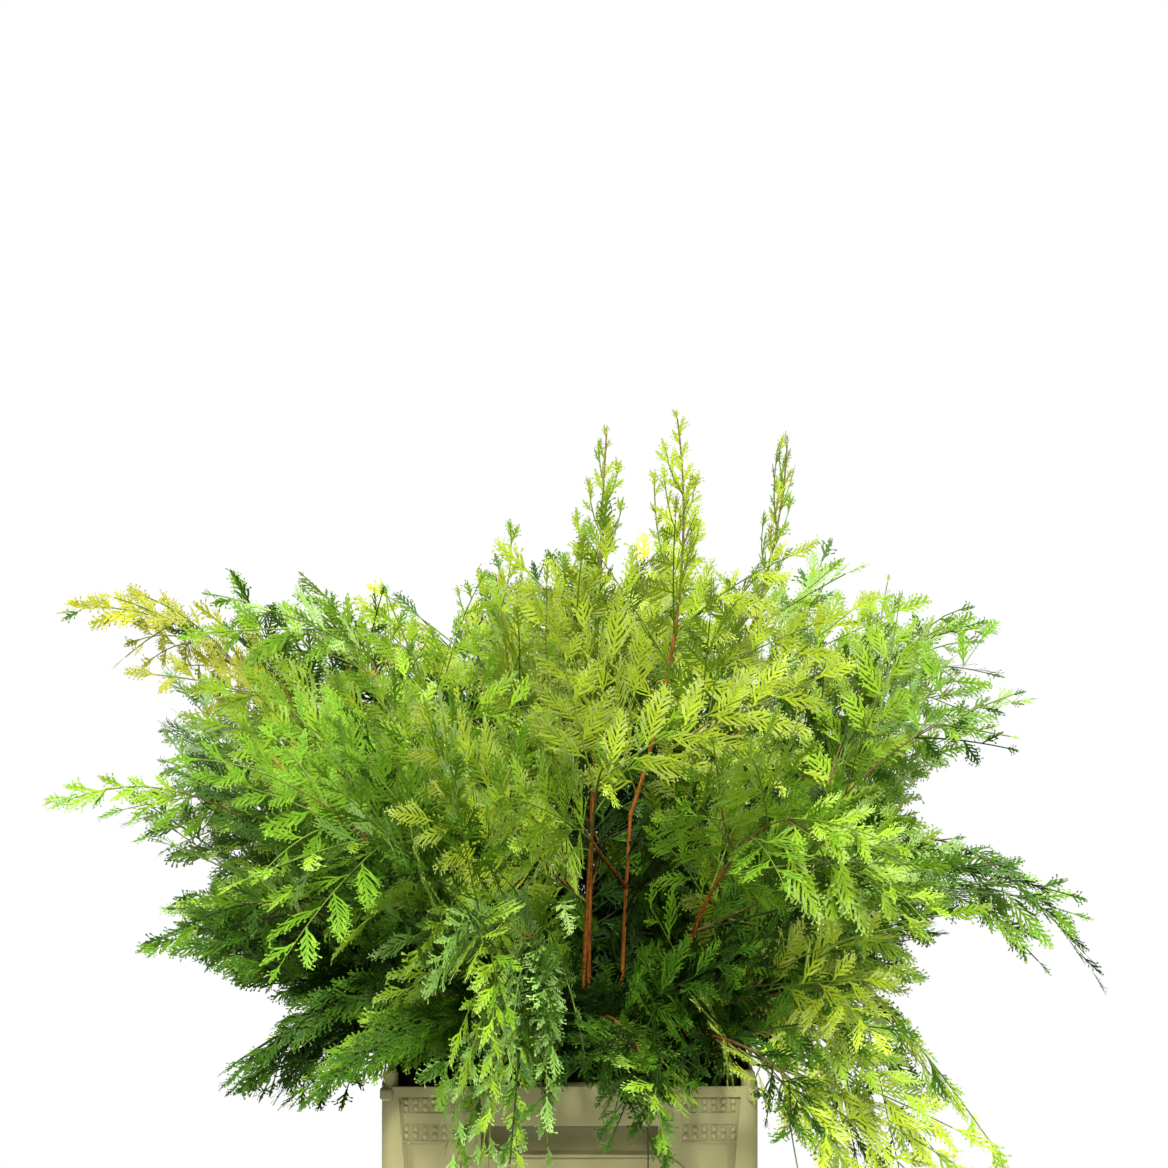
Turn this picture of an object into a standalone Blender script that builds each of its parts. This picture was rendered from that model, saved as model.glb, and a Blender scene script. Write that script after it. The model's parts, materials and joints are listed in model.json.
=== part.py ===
"""Cut branches of a golden hinoki cypress, standing in a rectangular plastic flower container.

Metres, +Z up. The origin is the centre of the container's flat underside. The short side with
the grip faces -Y, and the branches fan out over the rim on all sides.
"""
import itertools
import math
import random

import bmesh
import bpy
import numpy as np
from mathutils import Matrix, Vector

# Container: outer sizes, wall, and the posts that stay upright while the panels lean in.
WIDTH_X = 0.290
DEPTH_Y = 0.390
HEIGHT = 0.330
WALL = 0.0024
FLOOR = 0.003
CORNER_RADIUS = 0.016
COLLAR = 0.008
POST_TOP = 0.014
POST_FOOT = 0.042
PANEL_STEP_TOP = 0.002
PANEL_STEP_FOOT = 0.011
GRIP_WIDTH = 0.136
GRIP_LIP = 0.030
GRIP_FOOT = 0.052
GRIP_DEPTH = 0.016
POCKET_STEP = 0.0003
PLATE_TOP = 0.055
PLATE_FOOT = 0.090
PLATE_MARGIN = 0.012
PLATE_RADIUS = 0.020
PLATE_PROUD = 0.0015
PEG_RADIUS = 0.0055
PEG_RISE = 0.011
PEG_SIDES = 8
PEG_ROUNDING = 0.0022
BEAD_RADIUS = 0.0055
BEAD_SHIFT = 0.0032
BEAD_TOP = 0.0014

# Clearance between separate pieces that meet.
GAP = 0.0003

# Branches: cut ends stand on the floor inside, within these half sizes, and lean outwards.
STAND_X = 0.062
STAND_Y = 0.098
RIM_SPREAD = 1.55
ARCH_SHARE = 0.52
BARE_SHARE = 0.46
SPIRE_BARE_SHARE = 0.56
SPIRE_REACH = 0.2
LIMB_SIDES_RESOLUTION = 1
LIMB_SEGMENTS = 6
CUT_RADIUS = 0.0046
LIMB_TIP_RADIUS = 0.0021

# name: (azimuth in degrees from +X, spread at the foot 0..1, crest height, reach, tip height)
BRANCHES = {
    "spire_mid": (40, 0.20, 0.62, 0.040, 0.850),
    "spire_front": (322, 0.55, 0.64, 0.108, 0.863),
    "spire_right": (8, 0.62, 0.66, 0.186, 0.846),
    "spire_left": (186, 0.30, 0.60, 0.072, 0.772),
    "crown_left": (196, 0.62, 0.66, 0.236, 0.728),
    "gold_left": (171, 0.70, 0.74, 0.444, 0.690),
    "left_sprig": (179, 0.86, 0.62, 0.450, 0.527),
    "left_low": (200, 0.88, 0.56, 0.362, 0.415),
    "front_left": (236, 0.80, 0.62, 0.360, 0.492),
    "front_weep": (261, 0.92, 0.66, 0.292, 0.262),
    "front_mid": (276, 0.50, 0.66, 0.305, 0.560),
    "front_right": (305, 0.85, 0.62, 0.372, 0.520),
    "right_weep": (338, 0.96, 0.66, 0.372, 0.250),
    "right_droop": (358, 0.98, 0.70, 0.442, 0.382),
    "right_tip": (349, 0.66, 0.62, 0.392, 0.622),
    "right_crown": (20, 0.80, 0.70, 0.398, 0.672),
    "back_right": (48, 0.86, 0.62, 0.410, 0.500),
    "back_mid": (78, 0.72, 0.64, 0.415, 0.610),
    "back_weep": (104, 0.95, 0.64, 0.385, 0.330),
    "back_left": (136, 0.86, 0.66, 0.420, 0.560),
    "back_crown": (112, 0.42, 0.66, 0.235, 0.765),
}

# name: (branch it springs from, share along that limb, azimuth, reach, tip height)
SIDE_SHOOTS = {
    "gold_left_lower": ("gold_left", 0.95, 160, 0.425, 0.600),
    "left_fan": ("left_sprig", 0.93, 189, 0.372, 0.480),
    "left_skirt": ("left_low", 0.95, 218, 0.318, 0.300),
    "front_left_upper": ("front_left", 0.93, 252, 0.300, 0.600),
    "weep_left": ("front_weep", 0.96, 247, 0.290, 0.285),
    "front_skirt": ("front_mid", 0.88, 283, 0.312, 0.300),
    "right_low": ("front_right", 0.94, 324, 0.345, 0.420),
    "right_skirt": ("front_right", 0.88, 303, 0.345, 0.290),
    "right_mid": ("right_crown", 0.90, 8, 0.384, 0.560),
    "right_upper": ("right_crown", 0.94, 42, 0.300, 0.720),
    "back_right_skirt": ("back_right", 0.93, 62, 0.350, 0.310),
    "back_left_low": ("back_left", 0.93, 150, 0.370, 0.400),
    "heart_front": ("spire_front", 0.88, 262, 0.150, 0.600),
    "heart_back": ("spire_mid", 0.88, 70, 0.160, 0.640),
    "heart_left": ("spire_left", 0.92, 160, 0.170, 0.600),
}

# A side shoot arches up and away from its limb before it bends to its tip.
SHOOT_ARCH_SHARE = 0.42
SHOOT_OPENING = 0.40
SHOOT_LIFT = 0.16

# Foliage: a three-sided stem runs through each mass, with side twigs every STATION of its length.
TWIG_RADIUS = 0.0019
SIDE_TWIG_RADIUS = 0.0013
TWIG_TIP_RADIUS = 0.0008
STEM_SHARES = (0, 0.12, 0.4, 0.7, 1)
STATION = 0.066
FIRST_STATION = 0.75
LOOK_AHEAD = 0.02
SIDE_TWIG_LENGTH = 0.085
SIDE_TWIG_SHORTER = 0.45
SIDE_TWIG_ANGLE = 46
SIDE_TWIG_FORWARD = 0.35
SIDE_TWIG_DROOP = 0.15
ROLL = 18
MASS_ROLL = (25, 75)

# Sprays: flat toothed blades. Shares are of the blade's own length.
SPRAY_LENGTH = 0.135
TIP_SPRAY_LENGTH = 0.105
TEETH = 3
TIP_TEETH = 4
SPRAY_ROOT = 0.006
SPRAY_THICKNESS = 0.017
SPRAY_TAPER = 0.4
SPRAY_NOTCH = 0.045
SPRAY_DROOP = 0.13
FIRST_TOOTH = 0.10
TOOTHED_SHARE = 0.78
TOOTH_REACH = (1.25, 1.6)
HALF_WIDTH = 0.27
HALF_WIDTH_RANGE = (0.85, 1.1)
BULGE_START = 0.22
BULGE_RUN = 0.66
SPRAY_LEAN = 38
SPRAY_TILT = 0.25
ALTERNATE = 0.05

# A spray that would leave its mass's space is tried turned by ROLLS degrees, then smaller.
SMALLER = (1.0, 0.82, 0.66, 0.5, 0.38)
ROLLS = (0, 24, -24, 48, -48)
SPRAY_APART = 0.004
SPACE_MARGIN = 0.002
LIMB_CLEARANCE = 0.0015
CONTAINER_CLEARANCE = 0.003
FINE = 25
AXIS_SAMPLES = 13
BLADE_SAMPLES = 4
LIMB_SAMPLES = 60
WELD = 0.000002
SEED = 31
FOLIAGE_COLOURS = ((0.16, 0.30, 0.04), (0.30, 0.42, 0.05), (0.08, 0.20, 0.04))


def clear_scene():
    for thing in list(bpy.data.objects):
        bpy.data.objects.remove(thing, do_unlink=True)


def new_collection(name):
    collection = bpy.data.collections.new(name)
    bpy.context.scene.collection.children.link(collection)
    return collection


def new_material(name, colour, roughness):
    material = bpy.data.materials.new(name)
    material.use_nodes = True
    shader = material.node_tree.nodes["Principled BSDF"]
    shader.inputs["Base Color"].default_value = (*colour, 1)
    shader.inputs["Roughness"].default_value = roughness
    shader.inputs["Metallic"].default_value = 0
    return material


def add_mesh(name, bm, collection, material=None):
    """Turns a bmesh into a named object in a collection."""
    bmesh.ops.recalc_face_normals(bm, faces=bm.faces)
    mesh = bpy.data.meshes.new(name)
    bm.to_mesh(mesh)
    bm.free()
    thing = bpy.data.objects.new(name, mesh)
    collection.objects.link(thing)
    if material:
        mesh.materials.append(material)
    return thing


def block(low, high, radius=0.0, axis=2, segments=2):
    """A box between two corners, with the edges that run along one axis rounded."""
    bm = bmesh.new()
    bmesh.ops.create_cube(bm, size=1)
    low, high = Vector(low), Vector(high)
    for vertex in bm.verts:
        vertex.co = Vector([(low[i] + high[i]) / 2 + vertex.co[i] * (high[i] - low[i]) for i in range(3)])
    if radius:
        edges = [e for e in bm.edges if abs((e.verts[1].co - e.verts[0].co)[axis]) > 0.5 * (high - low)[axis]]
        bmesh.ops.bevel(bm, geom=edges, offset=radius, segments=segments, profile=0.5, affect="EDGES")
    return bm


def boolean(thing, other, operation):
    modifier = thing.modifiers.new(f"{operation.lower()} {other.name}", "BOOLEAN")
    modifier.operation = operation
    modifier.object = other
    modifier.solver = "EXACT"


def as_cutter(thing):
    thing.hide_render = True
    thing.display_type = "WIRE"
    return thing


def panel_wedge(name, turn, inset, cutters):
    """The space in front of one leaning panel: wide and shallow at the top, narrow and deep below."""
    along, out = (WIDTH_X, DEPTH_Y) if turn % 180 == 0 else (DEPTH_Y, WIDTH_X)
    bm = bmesh.new()
    bmesh.ops.create_cube(bm, size=1)
    for vertex in bm.verts:
        top = vertex.co.z > 0
        post = POST_TOP if top else POST_FOOT
        step = PANEL_STEP_TOP if top else PANEL_STEP_FOOT
        inner = vertex.co.y > 0
        half = along / 2 - post + inset
        vertex.co.x = half if vertex.co.x > 0 else -half
        vertex.co.y = -out / 2 + step + inset if inner else -out / 2 - WALL
        vertex.co.z = HEIGHT - COLLAR + inset if top else -WALL
    bmesh.ops.rotate(bm, verts=bm.verts, cent=(0, 0, 0), matrix=turn_about_z(turn))
    return as_cutter(add_mesh(name, bm, cutters))


def turn_about_z(degrees):
    return Matrix.Rotation(math.radians(degrees), 3, "Z")


def crate_block(name, inset, low, high, collection, cutters):
    """The container's block with its four leaning panels, drawn in by an inset."""
    half_x, half_y = WIDTH_X / 2 - inset, DEPTH_Y / 2 - inset
    bm = block((-half_x, -half_y, low), (half_x, half_y, high), CORNER_RADIUS - inset)
    thing = add_mesh(name, bm, collection)
    for turn in (0, 90, 180, 270):
        boolean(thing, panel_wedge(f"{name}_panel_{turn}", turn, inset, cutters), "DIFFERENCE")
    return thing


def make_container(parts, cutters, material):
    """Open container: leaning panels between upright corner posts, a grip at each short side."""
    container = crate_block("container", 0, 0, HEIGHT, parts, cutters)
    container.data.materials.append(material)
    cavity = crate_block("cavity", WALL, FLOOR, HEIGHT + WALL, cutters, cutters)
    boolean(container, as_cutter(cavity), "DIFFERENCE")
    lean = math.atan2(PANEL_STEP_FOOT - PANEL_STEP_TOP, HEIGHT - COLLAR)
    for turn, along, out in ((0, WIDTH_X, DEPTH_Y), (180, WIDTH_X, DEPTH_Y), (90, DEPTH_Y, WIDTH_X),
                             (270, DEPTH_Y, WIDTH_X)):
        add_plate(container, turn, along, out, lean, cutters)
    for turn in (0, 180):
        add_grip(container, turn, cutters)
    for sx in (-1, 1):
        for sy in (-1, 1):
            add_corner_peg(container, sx, sy, cutters)
    return container


def add_plate(container, turn, along, out, lean, cutters):
    """A raised rounded plate on the leaning panel."""
    half = along / 2 - POST_FOOT - PLATE_MARGIN
    top, foot = HEIGHT - PLATE_TOP, PLATE_FOOT
    bm = block((-half, -PLATE_PROUD, -(top - foot) / 2), (half, WALL / 2, (top - foot) / 2), PLATE_RADIUS, 1)
    share = 1 - (top + foot) / 2 / (HEIGHT - COLLAR)
    panel_y = -out / 2 + PANEL_STEP_TOP + (PANEL_STEP_FOOT - PANEL_STEP_TOP) * share
    bmesh.ops.rotate(bm, verts=bm.verts, cent=(0, 0, 0), matrix=Matrix.Rotation(lean, 3, "X"))
    bmesh.ops.translate(bm, verts=bm.verts, vec=(0, panel_y, (top + foot) / 2))
    bmesh.ops.rotate(bm, verts=bm.verts, cent=(0, 0, 0), matrix=turn_about_z(turn))
    boolean(container, as_cutter(add_mesh(f"plate_{turn}", bm, cutters)), "UNION")


def add_grip(container, turn, cutters):
    """A pocket behind a hanging lip, open to the front for the fingers."""
    half, out = GRIP_WIDTH / 2, -DEPTH_Y / 2
    back = out + GRIP_DEPTH
    floor = HEIGHT - GRIP_FOOT
    shapes = (
        ("boss", "UNION", (-half - WALL, out, floor - WALL), (half + WALL, back + WALL, HEIGHT)),
        ("mouth", "DIFFERENCE", (-half, out - WALL, floor), (half, back, HEIGHT - GRIP_LIP)),
        ("pocket", "DIFFERENCE", (-half, out + WALL, floor + POCKET_STEP), (half, back - POCKET_STEP, HEIGHT - WALL)),
    )
    for word, operation, low, high in shapes:
        bm = block(low, high)
        bmesh.ops.rotate(bm, verts=bm.verts, cent=(0, 0, 0), matrix=turn_about_z(turn))
        boolean(container, as_cutter(add_mesh(f"grip_{word}_{turn}", bm, cutters)), operation)


def add_corner_peg(container, sx, sy, cutters):
    """A round peg that stands up from the corner of the rim, with a bead outside it."""
    x, y = sx * (WIDTH_X / 2 - CORNER_RADIUS / 2), sy * (DEPTH_Y / 2 - CORNER_RADIUS / 2)
    for word, radius, low, high, shift in (
        ("peg", PEG_RADIUS, HEIGHT - PEG_RISE, HEIGHT + PEG_RISE, 0),
        ("bead", BEAD_RADIUS, HEIGHT - 2 * BEAD_RADIUS, HEIGHT - BEAD_TOP, BEAD_SHIFT),
    ):
        bm = bmesh.new()
        bmesh.ops.create_cone(bm, cap_ends=True, segments=PEG_SIDES, radius1=radius, radius2=radius, depth=high - low)
        rims = [e for e in bm.edges if abs(e.verts[0].co.z - e.verts[1].co.z) < WELD]
        bmesh.ops.bevel(bm, geom=rims, offset=PEG_ROUNDING, segments=1, affect="EDGES")
        bmesh.ops.translate(bm, verts=bm.verts, vec=(x + sx * shift, y + sy * shift, (low + high) / 2))
        boolean(container, as_cutter(add_mesh(f"{word}_{sx}_{sy}", bm, cutters)), "UNION")


def unit(vector):
    return vector / np.linalg.norm(vector)


def bezier(controls, shares):
    """Points of a Bezier curve of any order at the given shares of its length parameter."""
    shares = np.asarray(shares, float)[:, None]
    order = len(controls) - 1
    return sum(math.comb(order, i) * shares**i * (1 - shares) ** (order - i) * controls[i] for i in range(order + 1))


def polar(azimuth, reach, height):
    angle = math.radians(azimuth)
    return np.array([reach * math.cos(angle), reach * math.sin(angle), height])


def branch_controls(name):
    """Foot on the floor, a point above it near the rim, the arch, and the furthest tip."""
    azimuth, spread, crest, reach, tip = BRANCHES[name]
    stand = polar(azimuth, 1, 0) * (STAND_X * spread, STAND_Y * spread, 0)
    lean = (RIM_SPREAD - 1) * np.linalg.norm(stand) / HEIGHT
    foot = stand + (0, 0, FLOOR + GAP + CUT_RADIUS * lean)
    rim = stand * RIM_SPREAD + (0, 0, HEIGHT)
    return [foot, rim, polar(azimuth, reach * ARCH_SHARE, crest), polar(azimuth, reach, tip)]


def bare_share(name):
    """Share of a branch without foliage: more of it on the upright ones."""
    return SPIRE_BARE_SHARE if BRANCHES[name][3] < SPIRE_REACH else BARE_SHARE


def limb_radius(share):
    return CUT_RADIUS + (LIMB_TIP_RADIUS - CUT_RADIUS) * share


def limb_path(name, count):
    """Centre line of the bare wood, from the cut end to where the foliage starts."""
    return bezier(branch_controls(name), np.linspace(0, bare_share(name), count))


def limb_at(name, share):
    """A point on the bare wood and the direction of the wood there."""
    path = limb_path(name, LIMB_SEGMENTS + 1)
    i = min(int(share * LIMB_SEGMENTS), LIMB_SEGMENTS - 1)
    run = path[i + 1] - path[i]
    return path[i] + run * (share * LIMB_SEGMENTS - i), unit(run)


def shoot_bend(name, root, along):
    """The point that a side shoot arches towards, out from its limb, and its tip."""
    azimuth, reach, height = SIDE_SHOOTS[name][2:]
    end = polar(azimuth, reach, height)
    run = end - root
    away = run - along * (run @ along)
    middle = root + SHOOT_ARCH_SHARE * run + SHOOT_OPENING * away
    middle[2] = max(root[2], middle[2]) + SHOOT_LIFT * np.linalg.norm(run[:2])
    return middle, end


def mass_start(name):
    """Where a mass's stem starts, just clear of its limb, the way it sets off, and its first corner."""
    if name in BRANCHES:
        tip, along = limb_at(name, 1)
        return tip + along * GAP, along, np.cross(along, (1, 0, 0))
    branch, share = SIDE_SHOOTS[name][:2]
    root, along = limb_at(branch, share)
    leave = unit(shoot_bend(name, root, along)[0] - root)
    cosine = leave @ along
    offset = limb_radius(share) + GAP + TWIG_RADIUS * abs(cosine)
    return root + leave * offset / math.sqrt(1 - cosine**2), leave, along * np.sign(cosine)


def mass_axis(name, count):
    """Centre line of a mass of foliage, from its limb to its furthest tip."""
    shares = np.linspace(0, 1, count)
    start = mass_start(name)[0]
    if name in BRANCHES:
        bare = bare_share(name)
        path = bezier(branch_controls(name), bare + (1 - bare) * shares)
        path[0] = start
        return path
    return bezier([start, *shoot_bend(name, start, limb_at(*SIDE_SHOOTS[name][:2])[1])], shares)


def all_axes(count):
    return {name: mass_axis(name, count) for name in (*BRANCHES, *SIDE_SHOOTS)}


def make_limb(name, parts, material):
    """One tapering stem of bare reddish wood."""
    path = limb_path(name, LIMB_SEGMENTS + 1)
    curve = bpy.data.curves.new(f"stem_{name}", "CURVE")
    curve.dimensions = "3D"
    curve.bevel_depth = CUT_RADIUS
    curve.bevel_resolution = LIMB_SIDES_RESOLUTION
    curve.use_fill_caps = True
    spline = curve.splines.new("POLY")
    spline.points.add(len(path) - 1)
    for i, (point, place) in enumerate(zip(spline.points, path)):
        point.co = (*place, 1)
        point.radius = limb_radius(i / LIMB_SEGMENTS) / CUT_RADIUS
    curve.materials.append(material)
    limb = bpy.data.objects.new(f"stem_{name}", curve)
    parts.objects.link(limb)
    return limb


def twig_mesh(path, radius, tip_radius, start, first):
    """A three-sided tapering twig, with the way it sets off and the way that its first corner looks."""
    bm = bmesh.new()
    rings = []
    for i, place in enumerate(path):
        along = unit(path[min(i + 1, len(path) - 1)] - path[i - 1]) if i else start
        first = unit(first - along * (first @ along))
        third = np.cross(along, first)
        r = radius + (tip_radius - radius) * i / (len(path) - 1)
        angles = [math.radians(120 * k) for k in range(3)]
        rings.append([bm.verts.new(place + r * (first * math.cos(a) + third * math.sin(a))) for a in angles])
    for low, high in zip(rings, rings[1:]):
        for k in range(3):
            bm.faces.new((low[k], low[(k + 1) % 3], high[(k + 1) % 3], high[k]))
    bm.faces.new(rings[0][::-1])
    bm.faces.new(rings[-1])
    bmesh.ops.triangulate(bm, faces=bm.faces)
    return bm


class Spray:
    """A flat spray of needles: a toothed blade with a ridge along its rib."""

    def __init__(self, root, along, normal, length, teeth, rng):
        self.along = unit(along)
        self.side = unit(np.cross(normal, self.along))
        self.normal = np.cross(self.along, self.side)
        self.root, self.length, self.teeth = root, length, teeth
        pitch = TOOTHED_SHARE / teeth
        self.stations = [FIRST_TOOTH + pitch * i for i in range(teeth + 1)]
        self.tips = {}
        for side in (-1, 1):
            for i, x in enumerate(self.stations[:-1]):
                bulge = math.sin(math.pi * (BULGE_START + BULGE_RUN * x))
                wide = bulge * HALF_WIDTH * rng.uniform(*HALF_WIDTH_RANGE)
                self.tips[side, i] = (x + pitch * rng.uniform(*TOOTH_REACH), side * wide)

    def place(self, x, y, z=0.0):
        z = z - SPRAY_DROOP * x * x
        return self.root + self.length * (self.along * x + self.side * y + self.normal * z)

    def samples(self):
        """Points spread over the blade, for testing what it is clear of."""
        points = [self.place(x, 0) for x in np.linspace(0, 1, 4 * BLADE_SAMPLES)]
        for (_, i), (x, y) in self.tips.items():
            for a in range(BLADE_SAMPLES + 1):
                for b in range(BLADE_SAMPLES + 1 - a):
                    base = self.stations[i] + (self.stations[i + 1] - self.stations[i]) * b / BLADE_SAMPLES
                    share = a / BLADE_SAMPLES
                    points.append(self.place(base + (x - self.stations[i]) * share, y * share))
        return np.array(points)

    def mesh(self):
        bm = bmesh.new()

        def new(x, y, z=0.0):
            return bm.verts.new(self.place(x, y, z))

        root, end = new(0, 0, SPRAY_THICKNESS / 2), new(1, 0)
        taper = [1 - SPRAY_TAPER * x for x in self.stations]
        ridge = [new(x, 0, SPRAY_THICKNESS * t) for x, t in zip(self.stations, taper)]
        low = {side: [new(x, side * SPRAY_NOTCH * t) for x, t in zip(self.stations, taper)] for side in (-1, 1)}
        for side in (-1, 1):
            bm.faces.new((root, low[side][0], ridge[0]))
            bm.faces.new((end, low[side][-1], ridge[-1]))
            for i in range(self.teeth):
                tip = new(*self.tips[side, i])
                rim = (ridge[i], low[side][i], low[side][i + 1], ridge[i + 1])
                for k in range(4):
                    bm.faces.new((rim[k], rim[(k + 1) % 4], tip))
        bm.faces.new((root, low[1][0], low[-1][0]))
        bm.faces.new((end, low[1][-1], low[-1][-1]))
        for i in range(self.teeth):
            bm.faces.new((low[1][i], low[1][i + 1], low[-1][i]))
            bm.faces.new((low[-1][i], low[1][i + 1], low[-1][i + 1]))
        return bm


class Crown:
    """Every limb and axis of the plant, for asking whose space a point is in."""

    def __init__(self):
        axes = all_axes(AXIS_SAMPLES)
        self.names = list(axes)
        self.points = np.concatenate([densify(a) for a in axes.values()])
        self.owner = np.repeat(np.arange(len(axes)), [len(densify(a)) for a in axes.values()])
        limbs = [limb_path(name, LIMB_SAMPLES) for name in BRANCHES]
        self.limb_points = np.concatenate(limbs)
        self.limb_reach = np.tile(limb_radius(np.linspace(0, 1, LIMB_SAMPLES)), len(limbs)) + LIMB_CLEARANCE

    def allows(self, name, points):
        """True where all the points are in the mass's own space, clear of limbs and container."""
        own = self.names.index(name)
        distance = np.linalg.norm(points[:, None] - self.points[None], axis=2)
        nearest = np.stack([distance[:, self.owner == k].min(axis=1) for k in range(len(self.names))], axis=1)
        others = np.delete(nearest, own, axis=1).min(axis=1)
        if (nearest[:, own] + 2 * SPACE_MARGIN > others).any():
            return False
        gaps = np.linalg.norm(points[:, None] - self.limb_points[None], axis=2) - self.limb_reach
        if (gaps < 0).any():
            return False
        sides = np.abs(points[:, :2]) - (WIDTH_X / 2 + CONTAINER_CLEARANCE, DEPTH_Y / 2 + CONTAINER_CLEARANCE)
        over_rim = points[:, 2] > HEIGHT + PEG_RISE + CONTAINER_CLEARANCE
        return bool((over_rim | (sides > 0).any(axis=1)).all() and (points[:, 2] > FLOOR).all())


def densify(path):
    middles = (path[1:] + path[:-1]) / 2
    return np.concatenate([path, middles])


def turned(vector, axis, degrees):
    return np.array(Matrix.Rotation(math.radians(degrees), 3, Vector(axis)) @ Vector(vector))


def mass_pieces(name, crown, rng):
    """The stem of a foliage mass, its side twigs and the sprays on them, as separate closed meshes."""
    whole = mass_axis(name, FINE)
    size = np.linalg.norm(np.diff(whole, axis=0), axis=1).sum()
    stem_end = 1 - TIP_SPRAY_LENGTH / size
    axis = np.array([along_path(whole, stem_end * share) for share in STEM_SHARES])
    start, corner = mass_start(name)[1:]
    pieces = [twig_mesh(axis, TWIG_RADIUS, TWIG_TIP_RADIUS, start, corner)]
    flat = unit(np.cross(np.cross(start, (0, 0, 1)), start))
    flat = turned(flat, start, rng.choice((-1, 1)) * rng.uniform(*MASS_ROLL))
    placed = []

    def add_spray(root, along, normal, length, teeth):
        for scale, roll in itertools.product(SMALLER, ROLLS):
            facing = turned(normal, along, roll)
            spray = Spray(root - along * SPRAY_ROOT, along, facing, length * scale, teeth, rng)
            samples = spray.samples()
            apart = all(np.linalg.norm(samples[:, None] - o[None], axis=2).min() > SPRAY_APART for o in placed)
            if apart and crown.allows(name, samples):
                pieces.append(spray.mesh())
                placed.append(samples)
                return

    add_spray(axis[-1], unit(whole[-1] - axis[-1]), flat, TIP_SPRAY_LENGTH + SPRAY_ROOT, TIP_TEETH)
    twigs = max(2, round(stem_end * size / STATION))
    side = 1 if rng.random() < 0.5 else -1
    for i in reversed(range(twigs)):
        share = stem_end * (i + FIRST_STATION) / twigs
        root = along_path(whole, share)
        along = unit(along_path(whole, share + LOOK_AHEAD) - root)
        normal = turned(unit(flat - along * (flat @ along)), along, rng.uniform(-ROLL, ROLL))
        side = -side
        leave = turned(along, normal, side * SIDE_TWIG_ANGLE)
        length = SIDE_TWIG_LENGTH * (1 - SIDE_TWIG_SHORTER * share)
        bend = unit(leave + along * SIDE_TWIG_FORWARD - normal * SIDE_TWIG_DROOP)
        path = bezier([root, root + leave * length / 2, root + (leave + bend) * length / 2], (0, 0.5, 1))
        if crown.allows(name, path[1:]):
            pieces.append(twig_mesh(path, SIDE_TWIG_RADIUS, TWIG_TIP_RADIUS, leave, normal))
            placed.append(path[1:])
            add_spray(path[-1], unit(path[-1] - path[-2]), normal, SPRAY_LENGTH, TEETH)
        other = turned(along, normal, -side * SPRAY_LEAN) - normal * SPRAY_TILT
        add_spray(along_path(whole, share + ALTERNATE), unit(other), normal, SPRAY_LENGTH, TEETH)
        if i % 2 == 0:
            third = np.cross(along, normal)
            add_spray(along_path(whole, share - ALTERNATE), unit(along - side * normal), third, SPRAY_LENGTH, TEETH)
    return pieces


def along_path(path, share):
    """The point at a share of a path's length, by straight runs between its evenly spread points."""
    at = min(max(share, 0), 1) * (len(path) - 1)
    i = min(int(at), len(path) - 2)
    return path[i] + (path[i + 1] - path[i]) * (at - i)


def make_mass(name, index, crown, parts, material):
    """Fuses one foliage mass into a single closed body."""
    rng = random.Random(SEED + index)
    pieces = mass_pieces(name, crown, rng)
    mass = add_mesh(f"foliage_{name}", pieces[0], parts)
    loose = new_collection(f"{name}_pieces")
    for i, bm in enumerate(pieces[1:]):
        add_mesh(f"{name}_piece_{i}", bm, loose)
    modifier = mass.modifiers.new("join", "BOOLEAN")
    modifier.operation = "UNION"
    modifier.operand_type = "COLLECTION"
    modifier.collection = loose
    modifier.solver = "EXACT"
    joined = bpy.data.meshes.new_from_object(mass.evaluated_get(bpy.context.evaluated_depsgraph_get()))
    mass.modifiers.clear()
    for thing in list(loose.objects):
        bpy.data.objects.remove(thing, do_unlink=True)
    bpy.data.collections.remove(loose)
    mass.data = joined
    keep_largest_body(joined)
    joined.materials.clear()
    joined.materials.append(material)
    return mass


def keep_largest_body(mesh):
    """Drops the loose scraps and sealed hollows that a union can leave."""
    bm = bmesh.new()
    bm.from_mesh(mesh)
    bmesh.ops.remove_doubles(bm, verts=bm.verts, dist=WELD)
    left, bodies = set(bm.verts), []
    while left:
        stack, body = [left.pop()], set()
        while stack:
            vertex = stack.pop()
            body.add(vertex)
            near = {e.other_vert(vertex) for e in vertex.link_edges} & left
            left -= near
            stack += near
        bodies.append(body)
    bodies.sort(key=len)
    bmesh.ops.delete(bm, geom=[v for body in bodies[:-1] for v in body], context="VERTS")
    bmesh.ops.triangulate(bm, faces=bm.faces)
    bm.to_mesh(mesh)
    bm.free()


def main():
    clear_scene()
    parts = new_collection("hinoki_branches_in_container")
    cutters = new_collection("cutters")
    plastic = new_material("cream plastic", (0.56, 0.52, 0.36), 0.5)
    bark = new_material("reddish bark", (0.22, 0.07, 0.03), 0.6)
    greens = [new_material(f"foliage {i}", colour, 0.5) for i, colour in enumerate(FOLIAGE_COLOURS)]
    make_container(parts, cutters, plastic)
    for name in BRANCHES:
        make_limb(name, parts, bark)
    crown = Crown()
    for index, name in enumerate(crown.names):
        make_mass(name, index, crown, parts, greens[index % len(greens)])


main()
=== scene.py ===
"""Cut branches of a golden hinoki cypress in a cream plastic flower container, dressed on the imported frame.

Metres, +Z up. The container's short side with the grip faces -Y, towards the camera.
"""
import json
import math
import random

import bmesh
import bpy
import numpy as np
from mathutils import Matrix, Vector

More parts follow.
